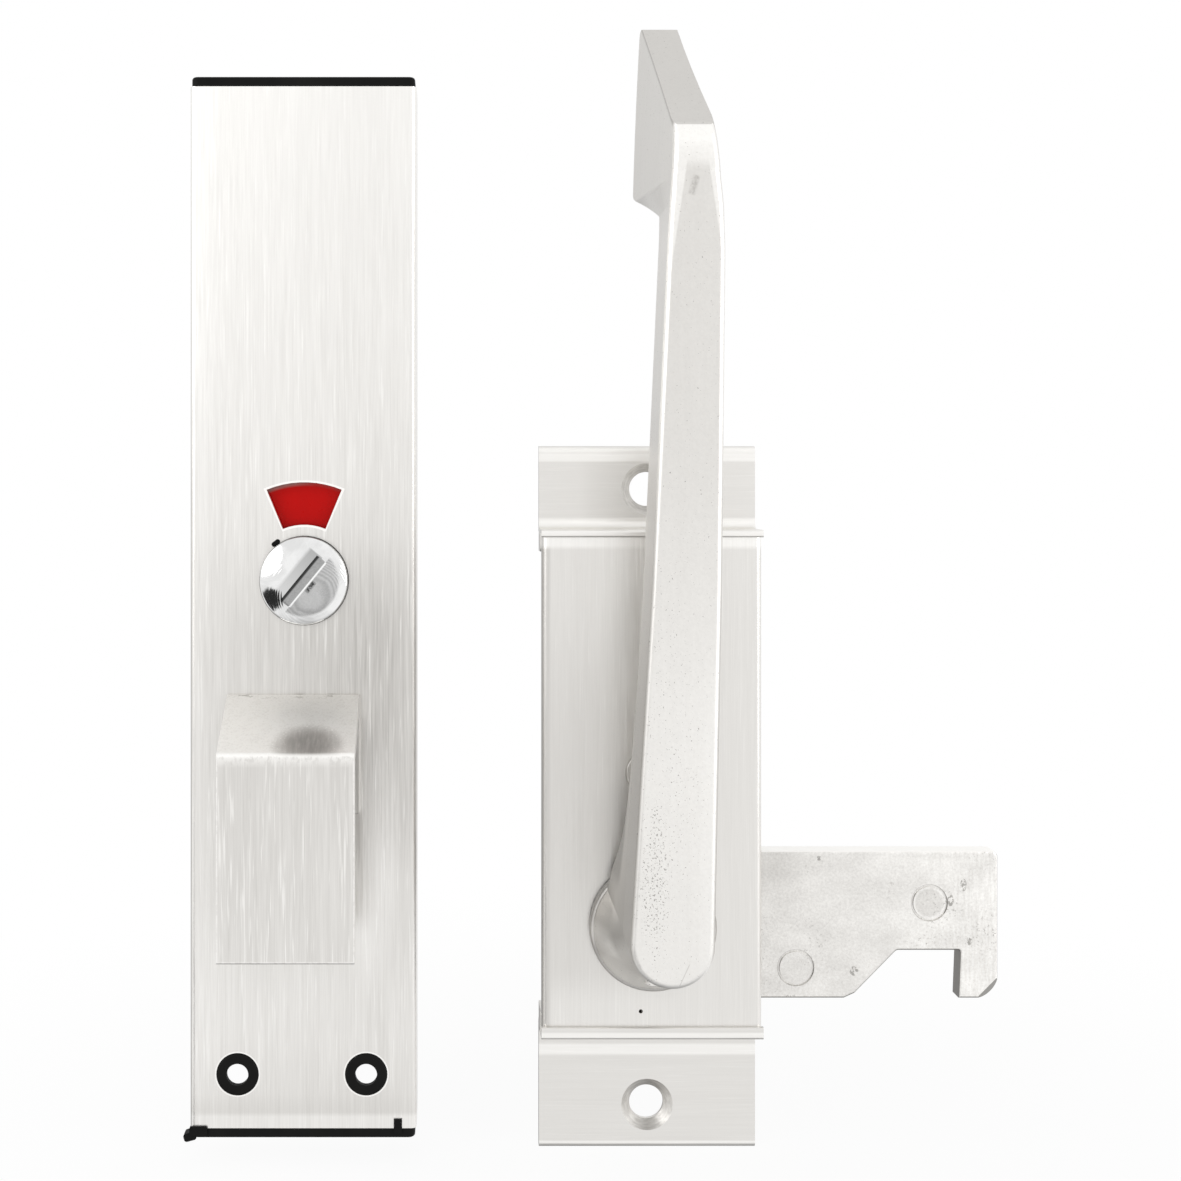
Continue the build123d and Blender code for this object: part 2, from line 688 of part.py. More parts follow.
def lever_side():
    """Side view of arm and return: flat front that rolls over to the sloping top, a slightly full
    back, and a hollow corner behind the arm."""
    arm_back = lever_front - lever_thickness
    return make_face(
        Polyline((arm_back, pivot_z), (lever_front, pivot_z), (lever_front, lever_tip_z - lever_roll))
        + ThreePointArc((lever_front, lever_tip_z - lever_roll),
                        (lever_front - lever_roll_depth * 0.3, lever_tip_z - lever_roll * 0.45),
                        (lever_front - lever_roll_depth, lever_tip_z))
        + Line((lever_front - lever_roll_depth, lever_tip_z), (return_back + 0.8, return_top))
        + ThreePointArc((return_back + 0.8, return_top),
                        (return_back, (return_top + return_bottom) / 2), (return_back + 0.6, return_bottom))
        + Line((return_back + 0.6, return_bottom), (arm_back - 2.0, return_root + 0.5))
        + ThreePointArc((arm_back - 2.0, return_root + 0.5), (arm_back - 0.5, return_root - 4.0),
                        (arm_back, return_root - 9.0))
        + Line((arm_back, return_root - 9.0), (arm_back, pivot_z)))


def lever_section(z, front_left, front_right, back_left, back_right):
    """Level section of arm and return, from in front of the lever to behind the return."""
    level = Plane(origin=(0, 0, z), x_dir=(1, 0, 0), z_dir=(0, 0, 1))
    return level * shape_of((back_left, -return_back + 2), (back_right, -return_back + 2),
                            (front_right, -lever_front - 1), (front_left, -lever_front - 1))


def lever_arm():
    """Arm and return between straight-sided level sections, cut to the side view."""
    root = (pivot_x - lever_root_half, pivot_x + lever_root_half)
    middle = (lever_middle_left, lever_middle_right)
    upper = (lever_upper_left, lever_upper_right)
    neck = (lever_neck_left, lever_neck_right)
    sections = [
        lever_section(lever_root_z, *root, *root),
        lever_section(lever_middle_z, *middle, *middle),
        lever_section(lever_upper_z, *upper, *upper),
        lever_section(lever_neck_z, *neck, *neck),
        lever_section(return_low_z, *return_low_front, return_low_left, return_low_right),
        lever_section(return_top + 1, *return_high_front, return_high_left, return_high_right)]
    side_view = lever_side()
    for depth, z in ((return_back + 0.8, return_top), (return_back + 0.6, return_bottom)):
        side_view = round_corner(side_view, depth, z, return_corner)
    arm = loft(sections, ruled=True) & across(side_view, -lever_half_space, lever_half_space)
    arm += disc(pivot_x, lever_root_z, lever_root_half, lever_front - lever_thickness, lever_front)
    rolled = lever_roll_depth + 0.2
    edges = [edge for edge in arm.edges() if edge.center().Y < rolled - lever_front]
    return fillet([edge for edge in edges if abs((edge @ 0).Z - (edge @ 1).Z) > 0.5], lever_edge)


def lever_boss():
    """Flat round boss on the cover, with a rounded rim."""
    shoulder = boss_back + boss_height
    outline = shape_of(
        (0, boss_back), (boss_radius, boss_back), (boss_radius, shoulder), (boss_radius - boss_slope, shoulder + 0.7),
        (0, shoulder + 0.7))
    return turned(round_corner(outline, boss_radius, shoulder, boss_round), pivot_x, pivot_z)


def lever_rib():
    """Foot of the lever: from the round boss it tapers to the arm's end and runs out up its back."""
    shoulder = boss_back + boss_height
    arm_back = lever_front - lever_thickness + 0.5
    root_left, root_right = pivot_x - lever_root_half, pivot_x + lever_root_half
    foot_radius = boss_radius - rib_foot_margin
    corner_x = foot_radius * cos(radians(rib_foot_angle))
    corner_z = pivot_z + foot_radius * sin(radians(rib_foot_angle))
    foot_left, foot_right = (pivot_x - corner_x, corner_z), (pivot_x + corner_x, corner_z)
    foot = make_face(
        ThreePointArc(foot_left, (pivot_x, pivot_z - foot_radius), foot_right)
        + ThreePointArc(foot_right, (pivot_x + rib_waist_half + 1, rib_waist_z), (rib_head_right, rib_top))
        + Line((rib_head_right, rib_top), (rib_head_left, rib_top))
        + ThreePointArc((rib_head_left, rib_top), (pivot_x - rib_waist_half, rib_waist_z), foot_left))
    head = make_face(
        ThreePointArc((root_left, lever_root_z), (pivot_x, lever_root_z - lever_root_half),
                      (root_right, lever_root_z))
        + Polyline((root_right, lever_root_z), (rib_head_right, rib_top), (rib_head_left, rib_top),
                   (root_left, lever_root_z)))
    body = loft([door.offset(shoulder) * foot, door.offset(arm_back) * head], ruled=True)
    foot_z = pivot_z + foot_radius
    low_z = pivot_z - 2 * foot_radius
    side_view = make_face(
        ThreePointArc((arm_back, rib_top), (arm_back - 6.0, rib_top - 22.0), (shoulder, foot_z))
        + Polyline((shoulder, foot_z), (shoulder, low_z), (arm_back, low_z), (arm_back, rib_top)))
    return body & across(side_view, -lever_half_space, lever_half_space)


def lever_handle():
    lever = lever_arm() + lever_rib() + lever_boss()
    lever += disc(pivot_x, pivot_z, spigot_radius, spigot_back, boss_back + 1)
    half = spindle_size / 2 + running_play
    lever -= slab(pivot_x - half, pivot_x + half, spigot_back - 1, spindle_front + flat_gap,
                  pivot_z - half, pivot_z + half)
    grub = Pos(pivot_x, -grub_depth, pivot_z - 12) * Cylinder(grub_radius + running_play, 24)
    return lever - grub


def lever_grub_screw():
    """Set screw from below, tight on the spindle."""
    top = pivot_z - spindle_size / 2
    screw = Pos(pivot_x, -grub_depth, top - grub_length / 2) * Cylinder(grub_radius, grub_length)
    socket = extrude(Plane.XY * RegularPolygon(1.4, 6), amount=2)
    return screw - Pos(pivot_x, -grub_depth, top - grub_length) * socket


# Places that several pieces share
pip_distance = turn_radius + turn_play + pip_radius
plate_fixing_places = [plate_fixing_x - plate_fixing_spacing / 2, plate_fixing_x + plate_fixing_spacing / 2]
pull_screw_places = [pull_x - pull_screw_spacing / 2, pull_x + pull_screw_spacing / 2]
pull_screw_z = pull_top - pull_screw_drop
clip_back = -spindle_clip_thickness - 0.15
steel_rivet_places = []
for place_x in (-steel_rivet_x, steel_rivet_x):
    steel_rivet_places.append((place_x, top_shoulder - steel_rivet_inset))
    steel_rivet_places.append((place_x, steel_rivet_inset - bottom_shoulder))

nodes = {
    "outer_plate": outer_plate(),
    "top_end_cap": end_cap(plate_top, 1),
    "bottom_end_cap": bottom_end_cap(),
    "backing_plate": backing_plate(),
    "pull_handle": pull_handle(),
    "pull_screws": pull_screws(),
    "coin_turn": coin_turn(),
    "indicator_disc": indicator_disc(),
    "turn_washer": turn_washer(),
    "spring_washer": spring_washer(),
    "turn_clip": turn_clip(),
    "top_bracket": bracket(body_half_height, top_shoulder, top_lip, True),
    "bottom_bracket": bracket(body_half_height, bottom_shoulder, bottom_lip, False),
    "body_cover": body_cover(),
    "spring_rivet": spring_rivet(),
    "friction_spring": friction_spring(),
    "back_plate": back_plate(),
    "back_plate_rivets": back_plate_rivets(),
    "hook_bolt": hook_bolt(),
    "spindle": spindle(),
    "spindle_clip": spindle_clip(),
    "bolt_washer": bolt_washer(),
    "lever_bush": lever_bush(),
    "lever_handle": lever_handle(),
    "lever_grub_screw": lever_grub_screw(),
}

os.makedirs("parts", exist_ok=True)
for name, shape in nodes.items():
    export_step(shape, f"parts/{name}.step")
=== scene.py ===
import bpy
from math import radians
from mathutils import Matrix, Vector


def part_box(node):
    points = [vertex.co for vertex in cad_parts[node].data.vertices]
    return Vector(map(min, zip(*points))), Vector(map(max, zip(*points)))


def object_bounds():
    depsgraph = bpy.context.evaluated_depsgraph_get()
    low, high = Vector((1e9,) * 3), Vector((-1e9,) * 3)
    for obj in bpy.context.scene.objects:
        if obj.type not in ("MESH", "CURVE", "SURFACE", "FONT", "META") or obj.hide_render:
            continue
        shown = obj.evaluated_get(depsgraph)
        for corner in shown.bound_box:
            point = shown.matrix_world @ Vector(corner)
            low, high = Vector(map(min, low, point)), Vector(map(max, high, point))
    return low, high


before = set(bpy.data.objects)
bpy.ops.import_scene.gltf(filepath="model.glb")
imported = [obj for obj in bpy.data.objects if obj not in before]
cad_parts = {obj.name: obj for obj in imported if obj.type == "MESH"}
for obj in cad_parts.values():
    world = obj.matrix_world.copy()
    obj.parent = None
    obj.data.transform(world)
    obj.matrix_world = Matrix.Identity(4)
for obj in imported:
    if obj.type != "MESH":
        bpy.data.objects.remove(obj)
cad_low, cad_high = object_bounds()

# All places are in metres in the frame of the part, and all levels are shares of white metal.
MM = 0.001

# Places taken from the solids
low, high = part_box("coin_turn")
TURN_X = (low.x + high.x) / 2
TURN_Z = (low.z + high.z) / 2
FLOOR_Z = cad_low.z

# Outside plate: radii and half the angle of the window's rim, which has a painted highlight, and the fixing
# holes
WINDOW_INNER, WINDOW_OUTER = 0.01180, 0.02215
WINDOW_HALF_ANGLE = radians(23.9)
FIXING_X = (-0.0914, -0.0630)
FIXING_Z = -0.0596
FIXING_FADE = 0.0060         # radius at which the spot around a hole has faded out
FIXING_RIM = 0.225           # value of that spot at the outer edge of the painted rim highlight
PULL_SHADE_Z, PULL_SHADE_REACH = 0.021, 0.042      # height at which the painted shade beside the pull is greyest, and how far that fades

# Turn: the angle of its coin slot, half its width and length, the middle of its scraped part, and a painted
# dark reflection there, from point to point
SLOT_ANGLE = 50.6
SLOT_HALF_WIDTH = MM * 1.15
SLOT_HALF_LENGTH = 0.0064
SCRAPE_X = TURN_X + 1.7 * MM
SCRAPE_Z = TURN_Z - 3.2 * MM
SCRAPE_FADE = 0.0100
DARK_REFLECTION_START = (0.0006 + TURN_X, -0.0024 + TURN_Z)
DARK_REFLECTION_END = (0.0026 + TURN_X, 0.0000 + TURN_Z)
DARK_REFLECTION_HALF_WIDTH = 0.0007

# End brackets: holes, and the height and half width of each painted highlight along a bend or a free edge
HOLE_Z = (0.0695, -0.0695)
HOLE_FADE = 0.0080           # radius at which the spot around a hole has faded out
CONE_RIM = 0.01              # value of that spot at the countersink's outer edge
HIGHLIGHT_BANDS = ((0.0767, 0.0013), (0.0618, 0.0015), (0.0600, 0.0008), (-0.0505, 0.0009), (-0.0570, 0.0016),
                (0.0783, 0.0008), (-0.0783, 0.0008))

# Lever: plane of the sloping top of its return, and the marks on its front, each from point to point with half
# its width
LEAN_Y, LEAN_Z, LEAN_AWAY = -0.6471, 0.7625, 0.1397
SMUDGE = ((0.0036, 0.1286), (0.0048, 0.1328), 0.0009)
SCRATCH = ((0.0011, -0.0296), (0.0034, -0.0246), 0.00014)

# Bolt: middles of its two cast rings, and its dents as place and half size
RINGS = ((0.0328, -0.0375), (0.0627, -0.0230))
RING_FADE = 0.0060
DENTS = ((0.0703, -0.0190, 0.0008, 0.0016), (0.0674, -0.0225, 0.0008, 0.0014),
         (0.0714, -0.0316, 0.0010, 0.0010), (0.0458, -0.0382, 0.0011, 0.0012),
         (0.0380, -0.0130, 0.0006, 0.0006))

# Colours
BLACK = (0.0, 0.0, 0.0)
CHROME = (0.985, 0.985, 0.98)
DARK_METAL_TINT, PALE_METAL_TINT = (1.0, 0.968, 0.920), (1.0, 0.987, 0.960)
RED, DEEP_RED = (0.54, 0.002, 0.001), (0.45, 0.001, 0.001)
GREEN, DEEP_GREEN = (0.02, 0.30, 0.06), (0.015, 0.22, 0.05)
WINDOW_SHADE = (0.34, 0.24, 0.22)
SOOT, PALE_SOOT = (0.004, 0.004, 0.004), (0.009, 0.009, 0.008)
NYLON, PALE_NYLON = (0.66, 0.65, 0.60), (0.74, 0.73, 0.68)
ZINC, PALE_ZINC = (0.50, 0.50, 0.49), (0.66, 0.66, 0.65)
BLACKENED, PALE_BLACKENED = (0.03, 0.03, 0.03), (0.05, 0.05, 0.05)
WHITE = (1, 1, 1, 1)

# Range in which most values of a noise lie
NOISE_LOW, NOISE_HIGH = 0.3, 0.7

# Room: ramps along one axis of the direction looked in, and the direction of its dark opening with a ramp of
# the cosine to it
BEHIND_UP, BEHIND_RIGHT, TO_BEHIND = (-0.40, 0.25, 0.34, 0.84), (0.04, 0.20), (-0.30, 0.60)
LOW_DOWN = (-0.90, -0.50, 0.40, 1.0)
OPENING, OPENING_FADE = (-0.58, -0.74, -0.35), (0.978, 0.988, 1.0, 0.03)
DIFFUSE_ROOM = 0.60
FLOOR_HALF = 3.0
FLOOR_COLOUR, FLOOR_ROUGHNESS = (0.90, 0.90, 0.90, 1.0), 0.8
FLOOR_TO_WHITE = (0.03, 0.26, 0.93, 1.0)
LAMP_SIZE = 0.8
LAMP_TARGET = (-0.03, 0.0, 0.04)
LAMPS = (("key", (-0.95, -0.85, 0.45), 4.0), ("fill", (0.95, -0.75, 0.25), 3.0))

# Camera of the photograph: the picture is 1181 pixels wide and looked at squarely
PICTURE = 1181.0
FOCAL_PIXELS = 1757.6
AXIS_PIXEL = (450.0, 470.0)
CAMERA_PLACE = (-44.5 * MM, -400.0 * MM, 73.8 * MM)
SENSOR_MM = 36.0


class Shade:
    """A node material under construction, with short calls for the nodes that are used most. A value is a
    number or a socket. x, y, z are the place on the object, face_x, face_y, face_z the way it faces there."""

    def __init__(self, name, metallic=1.0, specular=0.5):
        self.material = bpy.data.materials.new(name)
        self.material.use_nodes = True
        self.tree = self.material.node_tree
        self.nodes = self.tree.nodes
        self.shader = self.nodes["Principled BSDF"]
        self.shader.inputs["Metallic"].default_value = metallic
        self.shader.inputs["Specular IOR Level"].default_value = specular
        coordinates = self.add("ShaderNodeTexCoord")
        self.place = coordinates.outputs["Object"]
        self.x, self.y, self.z = self.separate(self.place)
        self.face_x, self.face_y, self.face_z = self.separate(coordinates.outputs["Normal"])
        self.normal = None

    def add(self, kind, **settings):
        node = self.nodes.new(kind)
        for key, value in settings.items():
            setattr(node, key, value)
        return node

    def link(self, source, target):
        self.tree.links.new(source, target)

    def give(self, value, target):
        """Links a socket to another one, or sets a number there."""
        if isinstance(value, (int, float)):
            target.default_value = value
        else:
            self.link(value, target)

    def separate(self, vector):
        node = self.add("ShaderNodeSeparateXYZ")
        self.link(vector, node.inputs["Vector"])
        return node.outputs["X"], node.outputs["Y"], node.outputs["Z"]

    def noise(self, scale, detail=3.0, roughness=0.55, distortion=0.0):
        """Noise from 0 to 1. The scale, per metre, is one number or one for each axis."""
        mapping = self.add("ShaderNodeMapping")
        mapping.inputs["Scale"].default_value = scale if isinstance(scale, tuple) else (scale, scale, scale)
        self.link(self.place, mapping.inputs["Vector"])
        node = self.add("ShaderNodeTexNoise")
        node.inputs["Scale"].default_value = 1.0
        node.inputs["Detail"].default_value = detail
        node.inputs["Roughness"].default_value = roughness
        node.inputs["Distortion"].default_value = distortion
        self.link(mapping.outputs["Vector"], node.inputs["Vector"])
        return node.outputs["Fac"]

    def span(self, value, from_low, from_high, to_low=0.0, to_high=1.0, smooth=False):
        """The value carried from one range to another, and kept inside that one."""
        node = self.add("ShaderNodeMapRange")
        node.clamp = True
        if smooth:
            node.interpolation_type = "SMOOTHSTEP"
        node.inputs["From Min"].default_value = from_low
        node.inputs["From Max"].default_value = from_high
        node.inputs["To Min"].default_value = to_low
        node.inputs["To Max"].default_value = to_high
        self.link(value, node.inputs["Value"])
        return node.outputs["Result"]

    def spread(self, noise, to_low, to_high):
        """Noise carried to a range that most of its values fill."""
        return self.span(noise, NOISE_LOW, NOISE_HIGH, to_low, to_high)

    def sway(self, noise, amount):
        """Noise as a deviation to both sides of 0."""
        return self.spread(noise, -amount, amount)

    def math(self, operation, *values):
        node = self.add("ShaderNodeMath", operation=operation)
        for value, target in zip(values, node.inputs):
            self.give(value, target)
        return node.outputs["Value"]

    def chain(self, operation, first, others):
        for other in others:
            first = self.math(operation, first, other)
        return first

    def plus(self, first, *others):
        return self.chain("ADD", first, others)

    def times(self, first, *others):
        return self.chain("MULTIPLY", first, others)

    def largest(self, first, *others):
        return self.chain("MAXIMUM", first, others)

    def minus(self, first, second):
        return self.math("SUBTRACT", first, second)

    def scaled(self, value, factor, offset):
        return self.math("MULTIPLY_ADD", value, factor, offset)

    def size(self, value):
        return self.math("ABSOLUTE", value)

    def above(self, value, limit):
        return self.math("GREATER_THAN", value, limit)

    def below(self, value, limit):
        return self.math("LESS_THAN", value, limit)

    def between(self, amount, first, second):
        """A value between two others, the first where the amount is 0."""
        node = self.add("ShaderNodeMix", data_type="FLOAT")
        self.link(amount, node.inputs[0])
        self.give(first, node.inputs[2])
        self.give(second, node.inputs[3])
        return node.outputs[0]

    def mix(self, amount, first, second):
        """A colour between two others. Each is a triple of numbers or a socket."""
        node = self.add("ShaderNodeMix", data_type="RGBA")
        self.link(amount, node.inputs[0])
        targets = [socket for socket in node.inputs if socket.type == "RGBA"]
        for colour, target in zip((first, second), targets):
            if isinstance(colour, tuple):
                target.default_value = (*colour, 1.0)
            else:
                self.link(colour, target)
        return [socket for socket in node.outputs if socket.type == "RGBA"][0]

    def spot(self, x, z, half_x, half_z=None):
        """1 at a place seen from the front, fading to 0 at a circle or an ellipse around it."""
        across = self.math("DIVIDE", self.minus(self.x, x), half_x)
        up = self.math("DIVIDE", self.minus(self.z, z), half_z or half_x)
        squared = self.plus(self.times(across, across), self.times(up, up))
        return self.span(squared, 0.0, 1.0, 1.0, 0.0, smooth=True)

    def stroke(self, start, end, half_width):
        """1 on a straight stroke between two points of the front, fading to 0 over the outer part of its width
        and over a tenth of its length at each end."""
        line = Vector(end) - Vector(start)
        run_x, run_z = line / line.length_squared
        side_x, side_z = line.y / line.length, -line.x / line.length
        away_x = self.minus(self.x, start[0])
        away_z = self.minus(self.z, start[1])
        run = self.plus(self.times(away_x, run_x), self.times(away_z, run_z))
        side = self.plus(self.times(away_x, side_x), self.times(away_z, side_z))
        body = self.span(self.size(side), half_width, half_width * 0.4)
        ends = self.span(self.size(self.minus(run, 0.5)), 0.5, 0.4)
        return self.times(body, ends)

    def about_turn(self):
        """Distance from the axis of the turn, and angle from straight up."""
        away_x = self.minus(self.x, TURN_X)
        away_z = self.minus(self.z, TURN_Z)
        squared = self.plus(self.times(away_x, away_x), self.times(away_z, away_z))
        return self.math("SQRT", squared), self.math("ARCTAN2", away_x, away_z)

    def metal(self, brightness):
        """Colour of bare aluminium or zinc, a little warmer where it is darker."""
        tint = self.mix(self.span(brightness, 0.5, 1.0), DARK_METAL_TINT, PALE_METAL_TINT)
        return self.mix(brightness, BLACK, tint)

    def colour(self, value):
        self.link(value, self.shader.inputs["Base Color"])

    def rough(self, value):
        self.link(value, self.shader.inputs["Roughness"])

    def bump(self, height, distance, strength=1.0):
        """Adds relief of a height from 0 to 1 times a distance in metres."""
        node = self.add("ShaderNodeBump")
        node.inputs["Strength"].default_value = strength
        node.inputs["Distance"].default_value = distance
        self.link(height, node.inputs["Height"])
        if self.normal is not None:
            self.link(self.normal, node.inputs["Normal"])
        self.normal = node.outputs["Normal"]
        self.link(self.normal, self.shader.inputs["Normal"])


# Brushed lines: scale along and across the brushing, per metre, deviation of the level, and relief in metres
HAIR_SCALE, HAIR_SWAY, HAIR_RELIEF = (85.0, 3400.0), 1.4, 0.000010
LINE_SCALE, LINE_SWAY, LINE_RELIEF = (45.0, 1600.0), 1.3, 0.000014
BROAD_SCALE, BROAD_SWAY = (12.0, 420.0), 0.8
GLINT_SCALE, GLINT_NOISE = (70.0, 2300.0), (0.60, 0.70)


def brushed(name, along, brightness, contrast, roughness=0.34, glint=3.5, sheen_and_marks=None):
    """Anodised aluminium, brushed along one axis, 'X' or 'Z'. Brightness and contrast of the lines are
    functions of the place, or numbers; the brightness functions hold painted light and shade. Sheen and marks
    is a function that changes the level at the end, adding painted highlights and marks."""
    made = Shade(name)

    def lines(slow, fast, detail=2.0):
        return made.noise((slow, fast, fast) if along == "X" else (fast, fast, slow), detail=detail)

    def value_of(source):
        return source(made) if callable(source) else source

    hair = lines(*HAIR_SCALE, detail=3.0)
    line = lines(*LINE_SCALE)
    broad = lines(*BROAD_SCALE)
    bright = lines(*GLINT_SCALE)
    streaks = made.plus(made.sway(hair, HAIR_SWAY), made.sway(line, LINE_SWAY), made.sway(broad, BROAD_SWAY),
                        made.span(bright, *GLINT_NOISE, 0.0, glint))
    depth = made.times(streaks, value_of(contrast))
    level = made.times(made.plus(depth, 1.0), value_of(brightness))
    if sheen_and_marks is not None:
        level = sheen_and_marks(made, level)
    made.colour(made.metal(level))
    made.rough(made.spread(hair, roughness - 0.06, roughness + 0.08))
    made.bump(hair, HAIR_RELIEF)
    made.bump(line, LINE_RELIEF)
    return made.material


# Places and tones of each piece. A ramp goes from one place, or facing, or noise value to another, and where
# it has four numbers, from one level to another too. A spot is its middle, x and z, and its half width and
# height. A facing runs from -1 to 1. Gains and losses are added to the level, and a factor multiplies it.
# Outside plate: painted light and shade, with painted shade beside and to the right of the pull
PLATE_ACROSS = (-0.1000, -0.0620)
PLATE_RIGHT_EDGE = (-0.0595, -0.0545, 1.0, 0.75)
PLATE_UPPER_LOSS = (0.160, 0.080, 0.040, 0.128)
PLATE_MIDDLE_LOSS = (0.085, 0.030, 0.0, 0.105)
PLATE_LOWER_GAIN = (0.025, -0.045, 0.0, 0.09)
PLATE_FOOT_LOSS = (-0.052, -0.066, 0.0, 0.06)
PLATE_LEFT_GAIN = (-0.0950, -0.1000, 0.0, 0.03)
PLATE_RIGHT_SHADE_LOSS, PLATE_PULL_SHADE_LOSS = 0.05, 0.145
BESIDE_PULL_SPOT, BESIDE_PULL_LIGHT_GAIN = (-0.0625, -0.0080, 0.0080, 0.0380), 0.13
PLATE_STRIP, PLATE_STRIP_LEVEL = (-0.0640, -0.0672, 0.0, 0.5), 0.70
PLATE_END, PLATE_END_LEVEL = (-0.0680, -0.0690), 0.86
PLATE_LINES, PLATE_STRONG_LINES = (0.150, 0.060, 0.010, 0.030), 0.045


def plate_right(made):
    """Painted shade masks: 0 at the plate's left edge, 1 near its right edge, and 1 about the height of the
    pull's top.
    """
    away = made.math("DIVIDE", made.minus(made.z, PULL_SHADE_Z), PULL_SHADE_REACH)
    middle = made.span(made.times(away, away), 0.0, 1.0, 1.0, 0.0, smooth=True)
    right = made.times(made.span(made.x, *PLATE_ACROSS), made.span(made.x, *PLATE_RIGHT_EDGE))
    return right, middle


def plate_brightness(made):
    """Painted light and shade: nearly white at the top, greyest beside the top of the pull, darker on the
    right.
    """
    right, middle = plate_right(made)
    down = made.plus(made.span(made.z, *PLATE_UPPER_LOSS), made.span(made.z, *PLATE_MIDDLE_LOSS, smooth=True))
    gain = made.minus(made.span(made.z, *PLATE_LOWER_GAIN), made.span(made.z, *PLATE_FOOT_LOSS))
    loss = made.times(right, made.scaled(middle, PLATE_PULL_SHADE_LOSS, PLATE_RIGHT_SHADE_LOSS))
    # Painted light next to the pull's right side
    beside_pull = made.times(made.spot(*BESIDE_PULL_SPOT), BESIDE_PULL_LIGHT_GAIN)
    level = made.minus(made.plus(gain, 1.0), made.plus(down, loss))
    level = made.plus(level, made.plus(made.span(made.x, *PLATE_LEFT_GAIN), beside_pull))
    level = made.between(made.span(made.z, *PLATE_STRIP), level, PLATE_STRIP_LEVEL)
    return made.between(made.span(made.z, *PLATE_END), level, PLATE_END_LEVEL)


def plate_contrast(made):
    """The lines show most at the lower right."""
    right, middle = plate_right(made)
    return made.scaled(made.times(right, right, middle), PLATE_STRONG_LINES, made.span(made.z, *PLATE_LINES))


def rim_highlight(made, level):
    """Painted highlights on the cut rims around the window and the two fixing holes."""
    radius, angle = made.about_turn()
    rim = made.times(made.below(radius, WINDOW_OUTER), made.above(radius, WINDOW_INNER),
                     made.below(made.size(angle), WINDOW_HALF_ANGLE))
    for x in FIXING_X:
        rim = made.largest(rim, made.above(made.spot(x, FIXING_Z, FIXING_FADE), FIXING_RIM))
    return made.between(rim, level, 1.0)


# Cover: painted shade on the left, painted light low down and beside the lever, painted shade on the left edge
COVER_LEVEL = 0.803
COVER_LEFT = (0.004, 0.007, 1.0, 0.0)
COVER_SHADE_LOSS = (0.050, 0.012, 0.0, 0.070)
COVER_LOWER_GAIN = (-0.0355, -0.0450, 0.0, 0.075)
BESIDE_LEVER_LIGHT_GAIN = (-0.0160, -0.0080, 0.0, 0.055)
BESIDE_LEVER_END, BESIDE_LEVER_LOW = (0.006, 0.003), (-0.034, -0.028)
COVER_LEFT_EDGE_SHADE, COVER_LEFT_EDGE_SHADE_LEVEL = (-0.0222, -0.0228, 0.0, 0.9), 0.66
COVER_TOP_HIGHLIGHT, COVER_TOP_HIGHLIGHT_LEVEL = (0.0562, 0.0572), 0.96


def cover_brightness(made):
    """Painted shade, greyest on the left half way down, a painted highlight along its top and a shaded left
    edge.
    """
    left = made.span(made.x, *COVER_LEFT)
    grey = made.times(left, made.span(made.z, *COVER_SHADE_LOSS, smooth=True))
    pale = made.times(left, made.span(made.z, *COVER_LOWER_GAIN, smooth=True))
    # Painted light beside the lever
    beside_lever = made.times(made.span(made.x, *BESIDE_LEVER_LIGHT_GAIN, smooth=True),
                              made.span(made.x, *BESIDE_LEVER_END), made.span(made.z, *BESIDE_LEVER_LOW))
    level = made.plus(made.minus(pale, grey), made.plus(beside_lever, COVER_LEVEL))
    level = made.between(made.span(made.x, *COVER_LEFT_EDGE_SHADE), level, COVER_LEFT_EDGE_SHADE_LEVEL)
    return made.between(made.span(made.z, *COVER_TOP_HIGHLIGHT), level, COVER_TOP_HIGHLIGHT_LEVEL)


BRACKET_LEVEL, HIGHLIGHT_BAND_LEVEL = 0.79, 0.94
BRACKET_SHADE_SPOT, BRACKET_SHADE = (-0.0070, 0.0690, 0.0090, 0.0500), 0.045
CONE_FACING_FRONT, CONE_FACING_BACK = (-0.97, -0.90), (0.5, 0.3)
CONE_TURNED = (0.35, 0.65, 0.62, 0.78)


def bracket_brightness(made):
    """Flanges with a painted highlight along each bend and free edge, a painted soft shade beside the lever,
    and turned countersinks."""
    level = made.minus(BRACKET_LEVEL, made.times(made.spot(*BRACKET_SHADE_SPOT), BRACKET_SHADE))
    for middle, half in HIGHLIGHT_BANDS:
        away = made.size(made.minus(made.z, middle))
        level = made.between(made.span(away, half, half * 0.5, smooth=True), level, HIGHLIGHT_BAND_LEVEL)
    turned = made.noise((500.0, 2600.0, 500.0))
    sloping = made.times(made.span(made.face_y, *CONE_FACING_FRONT), made.span(made.face_y, *CONE_FACING_BACK))
    for hole_z in HOLE_Z:
        cone = made.times(made.above(made.spot(0.0, hole_z, HOLE_FADE), CONE_RIM), sloping)
        level = made.between(cone, level, made.span(turned, *CONE_TURNED))
    return level


